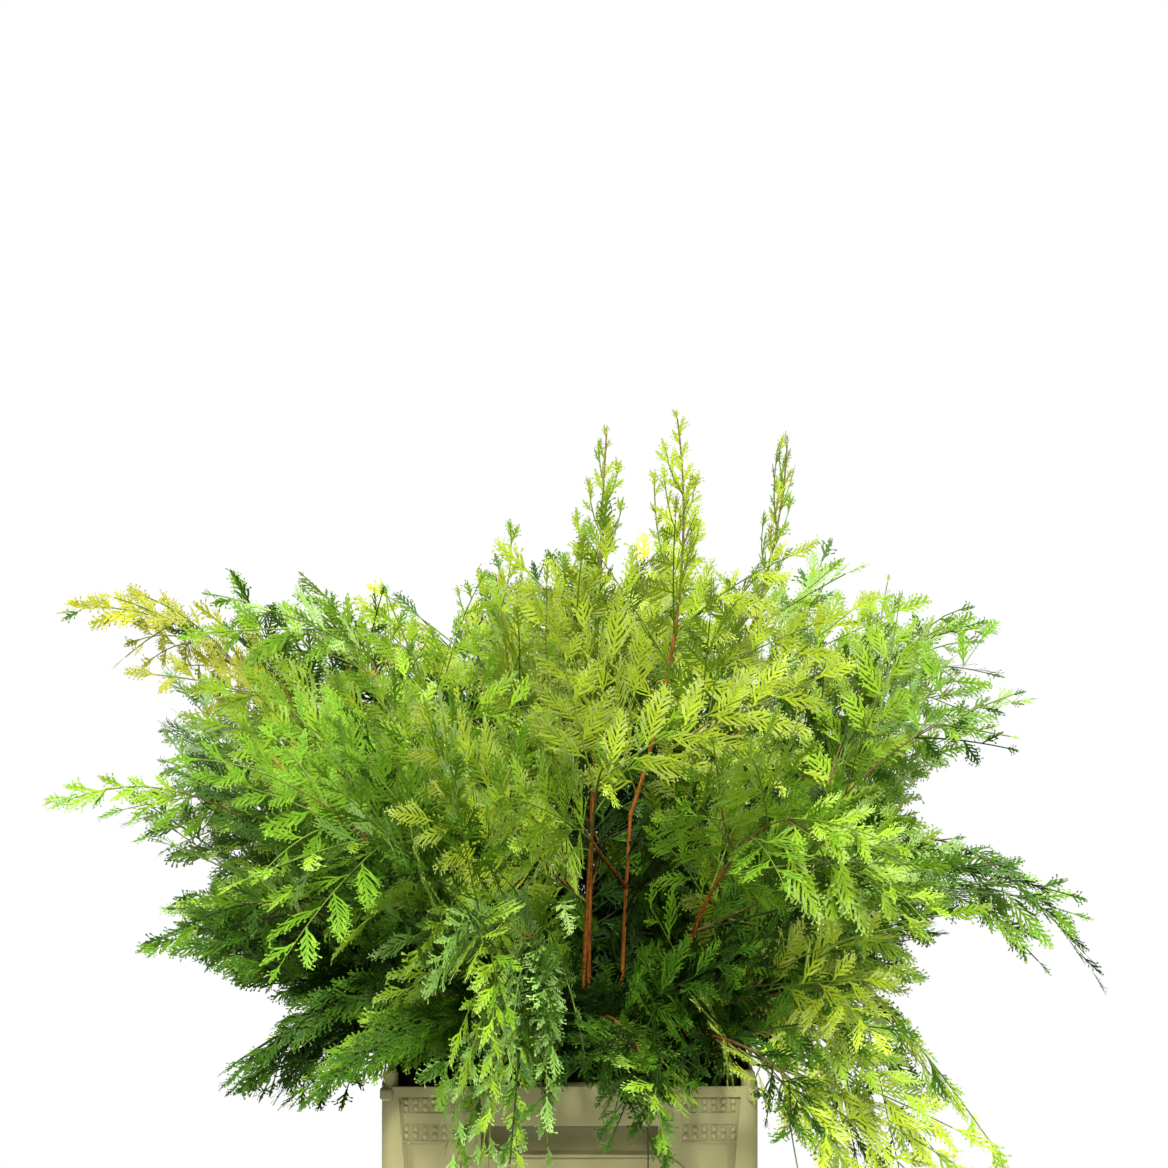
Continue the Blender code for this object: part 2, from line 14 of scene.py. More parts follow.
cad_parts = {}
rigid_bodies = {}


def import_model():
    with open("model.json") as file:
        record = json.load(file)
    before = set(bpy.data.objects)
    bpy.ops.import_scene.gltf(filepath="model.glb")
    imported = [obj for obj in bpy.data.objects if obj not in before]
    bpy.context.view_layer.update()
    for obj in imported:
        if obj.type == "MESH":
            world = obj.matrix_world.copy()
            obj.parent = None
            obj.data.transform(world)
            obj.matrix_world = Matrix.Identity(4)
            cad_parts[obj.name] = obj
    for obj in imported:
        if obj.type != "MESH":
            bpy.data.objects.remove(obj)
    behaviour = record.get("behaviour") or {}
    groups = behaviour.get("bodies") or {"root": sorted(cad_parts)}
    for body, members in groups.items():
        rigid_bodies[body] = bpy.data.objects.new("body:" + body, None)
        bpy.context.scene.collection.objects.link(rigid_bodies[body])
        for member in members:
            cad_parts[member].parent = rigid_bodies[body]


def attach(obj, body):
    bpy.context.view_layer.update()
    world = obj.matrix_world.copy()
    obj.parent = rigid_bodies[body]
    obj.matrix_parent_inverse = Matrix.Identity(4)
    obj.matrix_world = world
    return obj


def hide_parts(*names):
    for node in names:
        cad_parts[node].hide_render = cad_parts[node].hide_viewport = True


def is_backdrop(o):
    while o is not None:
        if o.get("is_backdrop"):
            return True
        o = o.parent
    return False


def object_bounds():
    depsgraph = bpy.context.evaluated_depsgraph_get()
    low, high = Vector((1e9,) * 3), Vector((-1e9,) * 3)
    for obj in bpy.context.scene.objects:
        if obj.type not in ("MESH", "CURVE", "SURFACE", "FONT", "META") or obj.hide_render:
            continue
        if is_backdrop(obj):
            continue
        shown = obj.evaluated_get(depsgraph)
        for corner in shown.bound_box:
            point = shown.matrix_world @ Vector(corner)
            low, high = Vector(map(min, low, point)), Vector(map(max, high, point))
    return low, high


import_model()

cad_low, cad_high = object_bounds()

# The container: a stackable crate-shaped tub, injection moulded in cream polypropylene. Four panels lean
# in between upright corner posts, and each short side has a grip behind a hanging lip.
WIDTH_X, DEPTH_Y, HEIGHT = 0.290, 0.390, 0.330
WALL, FLOOR, COLLAR = 0.0024, 0.003, 0.008
CORNER_RADIUS = 0.016
POST_TOP, POST_FOOT = 0.014, 0.042
PANEL_STEP_TOP, PANEL_STEP_FOOT = 0.002, 0.011
GRIP_WIDTH, GRIP_LIP, GRIP_FOOT, GRIP_DEPTH = 0.136, 0.030, 0.052, 0.016
POCKET_STEP = 0.0003
PLATE_TOP, PLATE_FOOT, PLATE_MARGIN, PLATE_RADIUS, PLATE_PROUD = 0.055, 0.090, 0.012, 0.020, 0.0015
ROUND_STEPS = 8
SHORT_SIDES, SIDES = (0, 180), (0, 180, 90, 270)


def block(low, high, radius=0.0, axis=2):
    """A box between two corners, with the edges along one axis rounded."""
    bm = bmesh.new()
    bmesh.ops.create_cube(bm, size=1)
    low, high = Vector(low), Vector(high)
    for vertex in bm.verts:
        vertex.co = Vector([(low[i] + high[i]) / 2 + vertex.co[i] * (high[i] - low[i]) for i in range(3)])
    if radius:
        edges = [e for e in bm.edges if abs((e.verts[1].co - e.verts[0].co)[axis]) > 0.5 * (high - low)[axis]]
        bmesh.ops.bevel(bm, geom=edges, offset=radius, segments=ROUND_STEPS, profile=0.5, affect="EDGES")
    return bm


def about_z(bm, degrees):
    turn = Matrix.Rotation(math.radians(degrees), 3, "Z")
    bmesh.ops.rotate(bm, verts=bm.verts, cent=(0, 0, 0), matrix=turn)
    return bm


def as_object(name, bm):
    bmesh.ops.recalc_face_normals(bm, faces=bm.faces)
    mesh = bpy.data.meshes.new(name)
    bm.to_mesh(mesh)
    bm.free()
    thing = bpy.data.objects.new(name, mesh)
    bpy.context.scene.collection.objects.link(thing)
    return thing


def baked(thing):
    """The plain mesh that an object's modifiers make."""
    return bpy.data.meshes.new_from_object(thing.evaluated_get(bpy.context.evaluated_depsgraph_get()))


def carve(thing, bm, operation):
    """Adds a shape to a piece, or takes it away."""
    tool = as_object("tool", bm)
    modifier = thing.modifiers.new("carve", "BOOLEAN")
    modifier.operation, modifier.object, modifier.solver = operation, tool, "EXACT"
    made = baked(thing)
    thing.modifiers.clear()
    thing.data = made
    bpy.data.objects.remove(tool, do_unlink=True)


def side_sizes(turn):
    """How long a side of the container is, and how far it is from the opposite one."""
    return (WIDTH_X, DEPTH_Y) if turn in SHORT_SIDES else (DEPTH_Y, WIDTH_X)


def panel_space(turn, inset):
    """The space in front of a leaning panel."""
    along, out = side_sizes(turn)
    bm = block((-1, -1, -1), (1, 1, 1))
    for vertex in bm.verts:
        top, inner = vertex.co.z > 0, vertex.co.y > 0
        half = along / 2 - (POST_TOP if top else POST_FOOT) + inset
        step = PANEL_STEP_TOP if top else PANEL_STEP_FOOT
        vertex.co.x = math.copysign(half, vertex.co.x)
        vertex.co.y = -out / 2 + step + inset if inner else -out / 2 - WALL
        vertex.co.z = HEIGHT - COLLAR + inset if top else -WALL
    return about_z(bm, turn)


def tub(name, inset, low, high):
    half_x, half_y = WIDTH_X / 2 - inset, DEPTH_Y / 2 - inset
    thing = as_object(name, block((-half_x, -half_y, low), (half_x, half_y, high), CORNER_RADIUS - inset))
    for turn in SIDES:
        carve(thing, panel_space(turn, inset), "DIFFERENCE")
    return thing


def panel_point(turn, x, z):
    """A point on the face of a leaning panel."""
    share = 1 - z / (HEIGHT - COLLAR)
    y = -side_sizes(turn)[1] / 2 + PANEL_STEP_TOP + (PANEL_STEP_FOOT - PANEL_STEP_TOP) * share
    return Matrix.Rotation(math.radians(turn), 3, "Z") @ Vector((x, y, z))


def on_panel(bm, turn, x, z):
    """Leans a shape made round the origin onto a panel, at a place on its face."""
    lean = math.atan2(PANEL_STEP_FOOT - PANEL_STEP_TOP, HEIGHT - COLLAR)
    bmesh.ops.rotate(bm, verts=bm.verts, cent=(0, 0, 0), matrix=Matrix.Rotation(lean, 3, "X"))
    about_z(bm, turn)
    bmesh.ops.translate(bm, verts=bm.verts, vec=panel_point(turn, x, z))
    return bm


container = tub("container_tub", 0, 0, HEIGHT)
cavity = tub("cavity", WALL, FLOOR, HEIGHT + WALL)
cavity_shape = bmesh.new()
cavity_shape.from_mesh(cavity.data)
bpy.data.objects.remove(cavity, do_unlink=True)
carve(container, cavity_shape, "DIFFERENCE")
plate_half_height = (HEIGHT - PLATE_TOP - PLATE_FOOT) / 2
for turn in SIDES:
    half = side_sizes(turn)[0] / 2 - POST_FOOT - PLATE_MARGIN
    low, high = (-half, -PLATE_PROUD, -plate_half_height), (half, WALL / 2, plate_half_height)
    plate = on_panel(block(low, high, PLATE_RADIUS, 1), turn, 0, PLATE_FOOT + plate_half_height)
    carve(container, plate, "UNION")
grip_floor, grip_out = HEIGHT - GRIP_FOOT, -DEPTH_Y / 2
grip_back, grip_half = grip_out + GRIP_DEPTH, GRIP_WIDTH / 2
for turn in SHORT_SIDES:
    for operation, low, high in (
        ("UNION", (-grip_half - WALL, grip_out, grip_floor - WALL),
         (grip_half + WALL, grip_back + WALL, HEIGHT)),
        ("DIFFERENCE", (-grip_half, grip_out - WALL, grip_floor), (grip_half, grip_back, HEIGHT - GRIP_LIP)),
        ("DIFFERENCE", (-grip_half, grip_out + WALL, grip_floor + POCKET_STEP),
         (grip_half, grip_back - POCKET_STEP, HEIGHT - WALL)),
    ):
        carve(container, about_z(block(low, high), turn), operation)


def add_node(tree, kind, inputs=None, **settings):
    """A node with its settings; each input is a plain value or the output that feeds it."""
    made = tree.nodes.new(kind)
    for key, value in settings.items():
        setattr(made, key, value)
    for socket, value in (inputs or {}).items():
        if isinstance(value, bpy.types.NodeSocket):
            tree.links.new(value, made.inputs[socket])
        else:
            made.inputs[socket].default_value = value
    return made


def maths(tree, operation, *values):
    """What a Math node makes of values."""
    return add_node(tree, "ShaderNodeMath", dict(enumerate(values)), operation=operation).outputs[0]


def remap(tree, value, low, high, from_low=0.0, from_high=1.0):
    """A value carried from one range to another, and held inside it."""
    ranges = {"Value": value, "From Min": from_low, "From Max": from_high, "To Min": low, "To Max": high}
    return add_node(tree, "ShaderNodeMapRange", ranges).outputs[0]


def noise(tree, place, scale, detail, **more):
    inputs = {"Vector": place, "Scale": scale, "Detail": detail, **more}
    return add_node(tree, "ShaderNodeTexNoise", inputs).outputs[0]


def toned(tree, colour, tone):
    """A colour made lighter or darker."""
    return add_node(tree, "ShaderNodeVectorMath", {0: colour, 1: tone}, operation="MULTIPLY").outputs[0]


def blend(tree, share, first, second):
    """Two colours mixed, with a share of the second."""
    return add_node(tree, "ShaderNodeMix", {0: share, 6: first, 7: second}, data_type="RGBA").outputs[2]


def give(tree, out, **results):
    """Links results to the outputs of a group."""
    for label, result in results.items():
        tree.links.new(result, out[label])


def new_group(name, kind, inputs, outputs):
    """A node group with named inputs (name, kind of value, default) and outputs (name, kind of value)."""
    group = bpy.data.node_groups.new(name, kind)
    for label, value_kind, value in inputs:
        made = group.interface.new_socket(name=label, in_out="INPUT", socket_type=f"NodeSocket{value_kind}")
        if value is not None:
            made.default_value = value
    for label, value_kind in outputs:
        group.interface.new_socket(name=label, in_out="OUTPUT", socket_type=f"NodeSocket{value_kind}")
    return group, group.nodes.new("NodeGroupInput").outputs, group.nodes.new("NodeGroupOutput").inputs


def new_material(name, values):
    """A material, its node tree and its Principled shader, with the shader's plain values set."""
    material = bpy.data.materials.new(name)
    material.use_nodes = True
    shader = material.node_tree.nodes["Principled BSDF"]
    for socket, value in values.items():
        shader.inputs[socket].default_value = value
    return material, material.node_tree, shader


def use_group(tree, group, inputs):
    return add_node(tree, "ShaderNodeGroup", inputs, node_tree=group).outputs


def coat(tree, shader, pattern, colour, strength, relief, **more):
    """Feeds a shader with a colour, and with a pattern's roughness and relief."""
    bump = add_node(tree, "ShaderNodeBump",
                    {"Height": pattern["Height"], "Strength": strength, "Distance": relief, **more})
    tree.links.new(colour, shader.inputs["Base Color"])
    tree.links.new(pattern["Roughness"], shader.inputs["Roughness"])
    tree.links.new(bump.outputs[0], shader.inputs["Normal"])


# Moulded plastic has a fine grain, faint cloudy tone, and vertical scuffs and dust from many trips.
PATTERN = [("Colour", "Color"), ("Roughness", "Float"), ("Height", "Float")]
moulded, given, out = new_group(
    "moulded plastic", "ShaderNodeTree",
    [("Colour", "Color", (0.6, 0.55, 0.38, 1)), ("Scuff colour", "Color", (0.3, 0.25, 0.16, 1)),
     ("Scuffs", "Float", 0.35), ("Grain per metre", "Float", 900.0)], PATTERN)
place = add_node(moulded, "ShaderNodeTexCoord").outputs["Object"]
shade = toned(moulded, given["Colour"], remap(moulded, noise(moulded, place, 14.0, 4.0), 0.90, 1.06))
upright = add_node(moulded, "ShaderNodeMapping", {"Vector": place, "Scale": (80, 80, 6)}).outputs[0]
streaks = noise(moulded, upright, 1.0, 5.0, Roughness=0.7)
worn = maths(moulded, "MULTIPLY", remap(moulded, streaks, 0.0, 1.0, 0.54, 0.8), given["Scuffs"])
give(moulded, out, Colour=blend(moulded, worn, shade, given["Scuff colour"]),
     Roughness=remap(moulded, streaks, 0.36, 0.6),
     Height=noise(moulded, place, given["Grain per metre"], 2.0))

CREAM, SCUFF = (0.298, 0.276, 0.118, 1), (0.30, 0.25, 0.16, 1)
EDGE_ROUNDING = 0.0009
plastic, tree, shader = new_material(
    "cream_polypropylene", {"IOR": 1.49, "Metallic": 0, "Specular IOR Level": 0.45})
pattern = use_group(
    tree, moulded, {"Colour": CREAM, "Scuff colour": SCUFF, "Scuffs": 0.3, "Grain per metre": 1100.0})
soft_edge = add_node(tree, "ShaderNodeBevel", {"Radius": EDGE_ROUNDING}, samples=4).outputs[0]
coat(tree, shader, pattern, pattern["Colour"], strength=0.12, relief=0.0004, Normal=soft_edge)


def finish_piece(piece, material, replaced=()):
    """Gives a plain mesh its material, its body, and the nodes that it stands for."""
    if material:
        piece.data.materials.clear()
        piece.data.materials.append(material)
    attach(piece, "root")
    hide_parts(*replaced)


SHARP_ANGLE = 28
container.data.shade_smooth()
container.data.set_sharp_from_angle(angle=math.radians(SHARP_ANGLE))
finish_piece(container, plastic, ["container"])

# Corner pegs and beads: round stacking pegs moulded on the rim's corners, each with a bead outside it.
PEG_RADIUS, PEG_RISE, PEG_ROUNDING = 0.0055, 0.011, 0.0022
BEAD_RADIUS, BEAD_SHIFT, BEAD_TOP = 0.0055, 0.0032, 0.0014
PEG_SIDES, PEG_ROUND_STEPS, SAME_HEIGHT = 24, 4, 1e-6
pegs = bmesh.new()
for sx in (-1, 1):
    for sy in (-1, 1):
        x, y = sx * (WIDTH_X / 2 - CORNER_RADIUS / 2), sy * (DEPTH_Y / 2 - CORNER_RADIUS / 2)
        for radius, low, high, shift in (
            (PEG_RADIUS, HEIGHT - PEG_RISE, HEIGHT + PEG_RISE, 0),
            (BEAD_RADIUS, HEIGHT - 2 * BEAD_RADIUS, HEIGHT - BEAD_TOP, BEAD_SHIFT),
        ):
            at = Matrix.Translation((x + sx * shift, y + sy * shift, (low + high) / 2))
            cone = bmesh.ops.create_cone(pegs, cap_ends=True, segments=PEG_SIDES, radius1=radius,
                                         radius2=radius, depth=high - low, matrix=at)
            rims = {edge for vertex in cone["verts"] for edge in vertex.link_edges
                    if abs(edge.verts[0].co.z - edge.verts[1].co.z) < SAME_HEIGHT}
            bmesh.ops.bevel(pegs, geom=list(rims), offset=PEG_ROUNDING, segments=PEG_ROUND_STEPS, profile=0.5,
                            affect="EDGES")
pegs = as_object("corner_pegs", pegs)
pegs.data.shade_smooth()
finish_piece(pegs, plastic)

# Label fields: on each side of a grip, two rows of round nubs, a raised bare plate, two more rows of nubs and
# a thin ledge below. They are part of the moulding, and the plate's lettering is left out.
NUB_RADIUS, NUB_RISE, NUB_PITCH = 0.0025, 0.0022, 0.0073
NUB_ROWS = (0.3185, 0.3130, 0.2970, 0.2915)
FIELD_CENTRE, FIELD_COLUMNS = 0.1070, 6


def named(tree, label, data_type="FLOAT"):
    kind = "GeometryNodeInputNamedAttribute"
    return add_node(tree, kind, {"Name": label}, data_type=data_type).outputs[0]


nub_field, given, out = new_group(
    "nub field", "GeometryNodeTree",
    [("Geometry", "Geometry", None), ("Nub radius", "Float", 0.0022), ("Rise", "Float", 0.0011),
     ("Material", "Material", None)], [("Geometry", "Geometry")])
dome = add_node(nub_field, "GeometryNodeMeshUVSphere", {"Segments": 12, "Rings": 6, "Radius": 1.0}).outputs[0]
size = add_node(nub_field, "ShaderNodeCombineXYZ",
                {0: given["Nub radius"], 1: given["Rise"], 2: given["Nub radius"]}).outputs[0]
placed = add_node(nub_field, "GeometryNodeInstanceOnPoints", {
    "Points": given["Geometry"], "Instance": dome, "Rotation": named(nub_field, "turn", "FLOAT_VECTOR"),
    "Scale": size})
real = add_node(nub_field, "GeometryNodeRealizeInstances", {0: placed.outputs[0]})
smooth = add_node(nub_field, "GeometryNodeSetShadeSmooth", {0: real.outputs[0]}).outputs[0]
done = add_node(nub_field, "GeometryNodeSetMaterial", {"Geometry": smooth, "Material": given["Material"]})
give(nub_field, out, Geometry=done.outputs[0])


def point_cloud(name, places, **attributes):
    """A mesh of loose points, each with its named values."""
    mesh = bpy.data.meshes.new(name)
    mesh.from_pydata([tuple(p) for p in places], [], [])
    for label, values in attributes.items():
        values = np.array(values)
        kind = "FLOAT_VECTOR" if values.ndim == 2 else "FLOAT" if values.dtype.kind == "f" else "INT"
        layer = mesh.attributes.new(label, kind, "POINT")
        layer.data.foreach_set("vector" if values.ndim == 2 else "value", values.ravel())
    thing = bpy.data.objects.new(name, mesh)
    bpy.context.scene.collection.objects.link(thing)
    return thing


def grown(thing, group, inputs):
    """Runs a Geometry Nodes group on an object and keeps the plain mesh it makes."""
    modifier = thing.modifiers.new("grow", "NODES")
    modifier.node_group = group
    for item in group.interface.items_tree:
        if item.in_out == "INPUT" and item.name in inputs:
            modifier[item.identifier] = inputs[item.name]
    made, name = baked(thing), thing.name
    bpy.data.objects.remove(thing, do_unlink=True)
    piece = bpy.data.objects.new(name, made)
    bpy.context.scene.collection.objects.link(piece)
    return piece


field_columns = [(column - (FIELD_COLUMNS - 1) / 2) * NUB_PITCH for column in range(FIELD_COLUMNS)]
places, turns = [], []
for turn in SHORT_SIDES:
    for side in (-1, 1):
        spots = [panel_point(turn, side * FIELD_CENTRE + x, z) for z in NUB_ROWS for x in field_columns]
        places += spots
        turns += [(0.0, 0.0, math.radians(turn))] * len(spots)
nubs = point_cloud("label_nubs", places, turn=turns)
nubs = grown(nubs, nub_field, {"Nub radius": NUB_RADIUS, "Rise": NUB_RISE, "Material": plastic})
finish_piece(nubs, None)

moulding = bmesh.new()


def add_to(bm, other):
    """Puts one loose shape into another."""
    mesh = bpy.data.meshes.new("loose")
    other.to_mesh(mesh)
    other.free()
    bm.from_mesh(mesh)
    bpy.data.meshes.remove(mesh)


# Raised beside each grip: half width, half height, rise, rounding, place across the side, and height.
RAISED = (
    (0.0212, 0.00425, 0.0007, 0.0015, FIELD_CENTRE, 0.30525),
    (0.0212, 0.00080, 0.0007, 0.0000, FIELD_CENTRE, 0.28680),
    (0.0015, 0.00500, 0.0022, 0.0012, 0.0775, 0.30600),
)
for turn in SHORT_SIDES:
    for side in (-1, 1):
        for half_width, half_height, rise, rounding, x, z in RAISED:
            low, high = (-half_width, -rise, -half_height), (half_width, WALL / 2, half_height)
            add_to(moulding, on_panel(block(low, high, rounding, 1), turn, side * x, z))
tags = as_object("label_plates_and_lugs", moulding)
finish_piece(tags, plastic)

# Border ribs: two fine ribs run down beside each corner post, on all four panels. They are moulded in one
# piece with the container.
RIB_WIDTH, RIB_PROUD, RIB_GAP, RIB_FOOT = 0.0011, 0.0008, 0.0026, 0.012
RIB_TOP = HEIGHT - COLLAR - 0.0015
ribs = bmesh.new()
for turn in SIDES:
    for side in (-1, 1):
        for step in (1, 2):
            ends = []
            for z in (RIB_FOOT, RIB_TOP):
                post = POST_FOOT + (POST_TOP - POST_FOOT) * z / (HEIGHT - COLLAR)
                ends.append(panel_point(turn, side * (side_sizes(turn)[0] / 2 - post - step * RIB_GAP), z))
            run = ends[1] - ends[0]
            rib = block((-RIB_WIDTH / 2, -RIB_PROUD, 0), (RIB_WIDTH / 2, WALL / 2, run.length))
            about_z(rib, turn)
            lean = Vector((0, 0, 1)).rotation_difference(run)
            bmesh.ops.rotate(rib, verts=rib.verts, cent=(0, 0, 0), matrix=lean.to_matrix())
            bmesh.ops.translate(rib, verts=rib.verts, vec=ends[0])
            add_to(ribs, rib)
ribs = as_object("panel_ribs", ribs)
finish_piece(ribs, plastic)

# Bare stems: 21 cut hinoki branches with thin reddish-brown bark. Their cut ends stand on the container's
# floor, and they lean out over the rim, arch, and taper towards the foliage.
GAP = 0.0003
STAND_X, STAND_Y = 0.062, 0.098
RIM_SPREAD, ARCH_SHARE = 1.55, 0.52
BARE_SHARE, SPIRE_BARE_SHARE, SPIRE_REACH = 0.46, 0.56, 0.2
CUT_RADIUS, LIMB_TIP_RADIUS, LIMB_SEGMENTS = 0.0046, 0.0021, 6

# name: (azimuth in degrees from +X, spread at the foot 0..1, crest height, reach, tip height)
BRANCHES = {
    "spire_mid": (40, 0.20, 0.62, 0.040, 0.850),
    "spire_front": (322, 0.55, 0.64, 0.108, 0.863),
    "spire_right": (8, 0.62, 0.66, 0.186, 0.846),
    "spire_left": (186, 0.30, 0.60, 0.072, 0.772),
    "crown_left": (196, 0.62, 0.66, 0.236, 0.728),
    "gold_left": (171, 0.70, 0.74, 0.444, 0.690),
    "left_sprig": (179, 0.86, 0.62, 0.450, 0.527),
    "left_low": (200, 0.88, 0.56, 0.362, 0.415),
    "front_left": (236, 0.80, 0.62, 0.360, 0.492),
    "front_weep": (261, 0.92, 0.66, 0.292, 0.262),
    "front_mid": (276, 0.50, 0.66, 0.305, 0.560),
    "front_right": (305, 0.85, 0.62, 0.372, 0.520),
    "right_weep": (338, 0.96, 0.66, 0.372, 0.250),
    "right_droop": (358, 0.98, 0.70, 0.442, 0.382),
    "right_tip": (349, 0.66, 0.62, 0.392, 0.622),
    "right_crown": (20, 0.80, 0.70, 0.398, 0.672),
    "back_right": (48, 0.86, 0.62, 0.410, 0.500),
    "back_mid": (78, 0.72, 0.64, 0.415, 0.610),
    "back_weep": (104, 0.95, 0.64, 0.385, 0.330),
    "back_left": (136, 0.86, 0.66, 0.420, 0.560),
    "back_crown": (112, 0.42, 0.66, 0.235, 0.765),
}

# name: (branch it springs from, share along that limb, azimuth, reach, tip height)
SIDE_SHOOTS = {
    "gold_left_lower": ("gold_left", 0.95, 160, 0.425, 0.600),
    "left_fan": ("left_sprig", 0.93, 189, 0.372, 0.480),
    "left_skirt": ("left_low", 0.95, 218, 0.318, 0.300),
    "front_left_upper": ("front_left", 0.93, 252, 0.300, 0.600),
    "weep_left": ("front_weep", 0.96, 247, 0.290, 0.285),
    "front_skirt": ("front_mid", 0.88, 283, 0.312, 0.300),
    "right_low": ("front_right", 0.94, 324, 0.345, 0.420),
    "right_skirt": ("front_right", 0.88, 303, 0.345, 0.290),
    "right_mid": ("right_crown", 0.90, 8, 0.384, 0.560),
    "right_upper": ("right_crown", 0.94, 42, 0.300, 0.720),
    "back_right_skirt": ("back_right", 0.93, 62, 0.350, 0.310),
    "back_left_low": ("back_left", 0.93, 150, 0.370, 0.400),
    "heart_front": ("spire_front", 0.88, 262, 0.150, 0.600),
    "heart_back": ("spire_mid", 0.88, 70, 0.160, 0.640),
    "heart_left": ("spire_left", 0.92, 160, 0.170, 0.600),
}


def unit(vector):
    return vector / np.linalg.norm(vector)


def bezier(controls, shares):
    """Points of a Bezier curve of any order at the given shares of its length parameter."""
    shares = np.asarray(shares, float)[:, None]
    order = len(controls) - 1
    weights = [math.comb(order, i) * shares**i * (1 - shares) ** (order - i) for i in range(order + 1)]
    return sum(weight * control for weight, control in zip(weights, controls))


def polar(azimuth, reach, height):
    angle = math.radians(azimuth)
    return np.array([reach * math.cos(angle), reach * math.sin(angle), height])


def branch_controls(name):
    """Foot on the floor, a point above it near the rim, the arch, and the furthest tip."""
    azimuth, spread, crest, reach, tip = BRANCHES[name]
    stand = polar(azimuth, 1, 0) * (STAND_X * spread, STAND_Y * spread, 0)
    lean = (RIM_SPREAD - 1) * np.linalg.norm(stand) / HEIGHT
    foot = stand + (0, 0, FLOOR + GAP + CUT_RADIUS * lean)
    rim = stand * RIM_SPREAD + (0, 0, HEIGHT)
    return [foot, rim, polar(azimuth, reach * ARCH_SHARE, crest), polar(azimuth, reach, tip)]


def bare_share(name):
    """Share of a branch without foliage: more of it on the upright ones."""
    return SPIRE_BARE_SHARE if BRANCHES[name][3] < SPIRE_REACH else BARE_SHARE


def limb_radius(share):
    return CUT_RADIUS + (LIMB_TIP_RADIUS - CUT_RADIUS) * share


def limb_path(name, count):
    """Centre line of the bare wood, from the cut end to where the foliage starts."""
    return bezier(branch_controls(name), np.linspace(0, bare_share(name), count))


def limb_at(name, share):
    """A point on the bare wood, as the solids have it, and the direction of the wood there."""
    path = limb_path(name, LIMB_SEGMENTS + 1)
    i = min(int(share * LIMB_SEGMENTS), LIMB_SEGMENTS - 1)
    run = path[i + 1] - path[i]
    return path[i] + run * (share * LIMB_SEGMENTS - i), unit(run)


# Bark: reddish brown, paler where it is scuffed, with fine lengthwise furrows and darker rings of leaf scars.
bark, given, out = new_group(
    "young bark", "ShaderNodeTree",
    [("Bark", "Color", (0.2, 0.06, 0.03, 1)), ("Furrow", "Color", (0.05, 0.02, 0.012, 1)),
     ("Furrows per metre", "Float", 700.0), ("Ring pitch", "Float", 0.004)], PATTERN)
place = add_node(bark, "ShaderNodeTexCoord").outputs["Object"]
drawn = add_node(bark, "ShaderNodeMapping", {"Vector": place, "Scale": (1, 1, 0.12)}).outputs[0]
furrow = noise(bark, drawn, given["Furrows per metre"], 3.0)
patch = noise(bark, place, 60.0, 3.0)
along = add_node(bark, "ShaderNodeAttribute", attribute_name="run").outputs["Fac"]
ring = maths(bark, "PINGPONG", maths(bark, "DIVIDE", along, given["Ring pitch"]), 1.0)
ring = remap(bark, ring, 0.55, 1.0, 0.0, 0.16)
pale = maths(bark, "MULTIPLY", remap(bark, furrow, 0.0, 1.0, 0.35, 0.65), ring)
shade = toned(bark, given["Bark"], remap(bark, patch, 0.7, 1.4))
give(bark, out, Colour=blend(bark, pale, given["Furrow"], shade), Roughness=remap(bark, patch, 0.45, 0.75),
     Height=pale)


def bark_material(name, colour, furrow, relief):
    material, tree, shader = new_material(name, {"IOR": 1.45, "Specular IOR Level": 0.35})
    pattern = use_group(tree, bark, {"Bark": colour, "Furrow": furrow})
    coat(tree, shader, pattern, pattern["Colour"], strength=0.5, relief=relief)
    return material


bark_tube, given, out = new_group(
    "bark tube", "GeometryNodeTree",
    [("Geometry", "Geometry", None), ("Sides", "Int", 10), ("Ring spacing", "Float", 0.004),
     ("Relief", "Float", 0.0002), ("Relief per metre", "Float", 260.0), ("Material", "Material", None)],
    [("Geometry", "Geometry")])
even = add_node(bark_tube, "GeometryNodeResampleCurve",
                {"Curve": given["Geometry"], "Length": given["Ring spacing"]}, mode="LENGTH").outputs[0]
run = add_node(bark_tube, "GeometryNodeSplineParameter").outputs["Length"]
marked = add_node(bark_tube, "GeometryNodeStoreNamedAttribute",
                  {"Geometry": even, "Name": "run", "Value": run}, data_type="FLOAT", domain="POINT")
ring = add_node(bark_tube, "GeometryNodeCurvePrimitiveCircle", {"Resolution": given["Sides"], "Radius": 1.0})
width = add_node(bark_tube, "GeometryNodeInputRadius").outputs[0]
tube = add_node(bark_tube, "GeometryNodeCurveToMesh", {
    "Curve": marked.outputs[0], "Profile Curve": ring.outputs[0], "Scale": width, "Fill Caps": True})
rough = add_node(bark_tube, "ShaderNodeTexNoise", {"Scale": given["Relief per metre"], "Detail": 3.0})
rough = maths(bark_tube, "MULTIPLY", maths(bark_tube, "SUBTRACT", rough.outputs[0], 0.5), given["Relief"])
normal = add_node(bark_tube, "GeometryNodeInputNormal").outputs[0]
shift = add_node(bark_tube, "ShaderNodeVectorMath", {0: normal, "Scale": rough}, operation="SCALE").outputs[0]
uneven = add_node(bark_tube, "GeometryNodeSetPosition", {"Geometry": tube.outputs[0], "Offset": shift})
smooth = add_node(bark_tube, "GeometryNodeSetShadeSmooth", {0: uneven.outputs[0]})
real = add_node(bark_tube, "GeometryNodeRealizeInstances", {0: smooth.outputs[0]}).outputs[0]
done = add_node(bark_tube, "GeometryNodeSetMaterial", {"Geometry": real, "Material": given["Material"]})
give(bark_tube, out, Geometry=done.outputs[0])


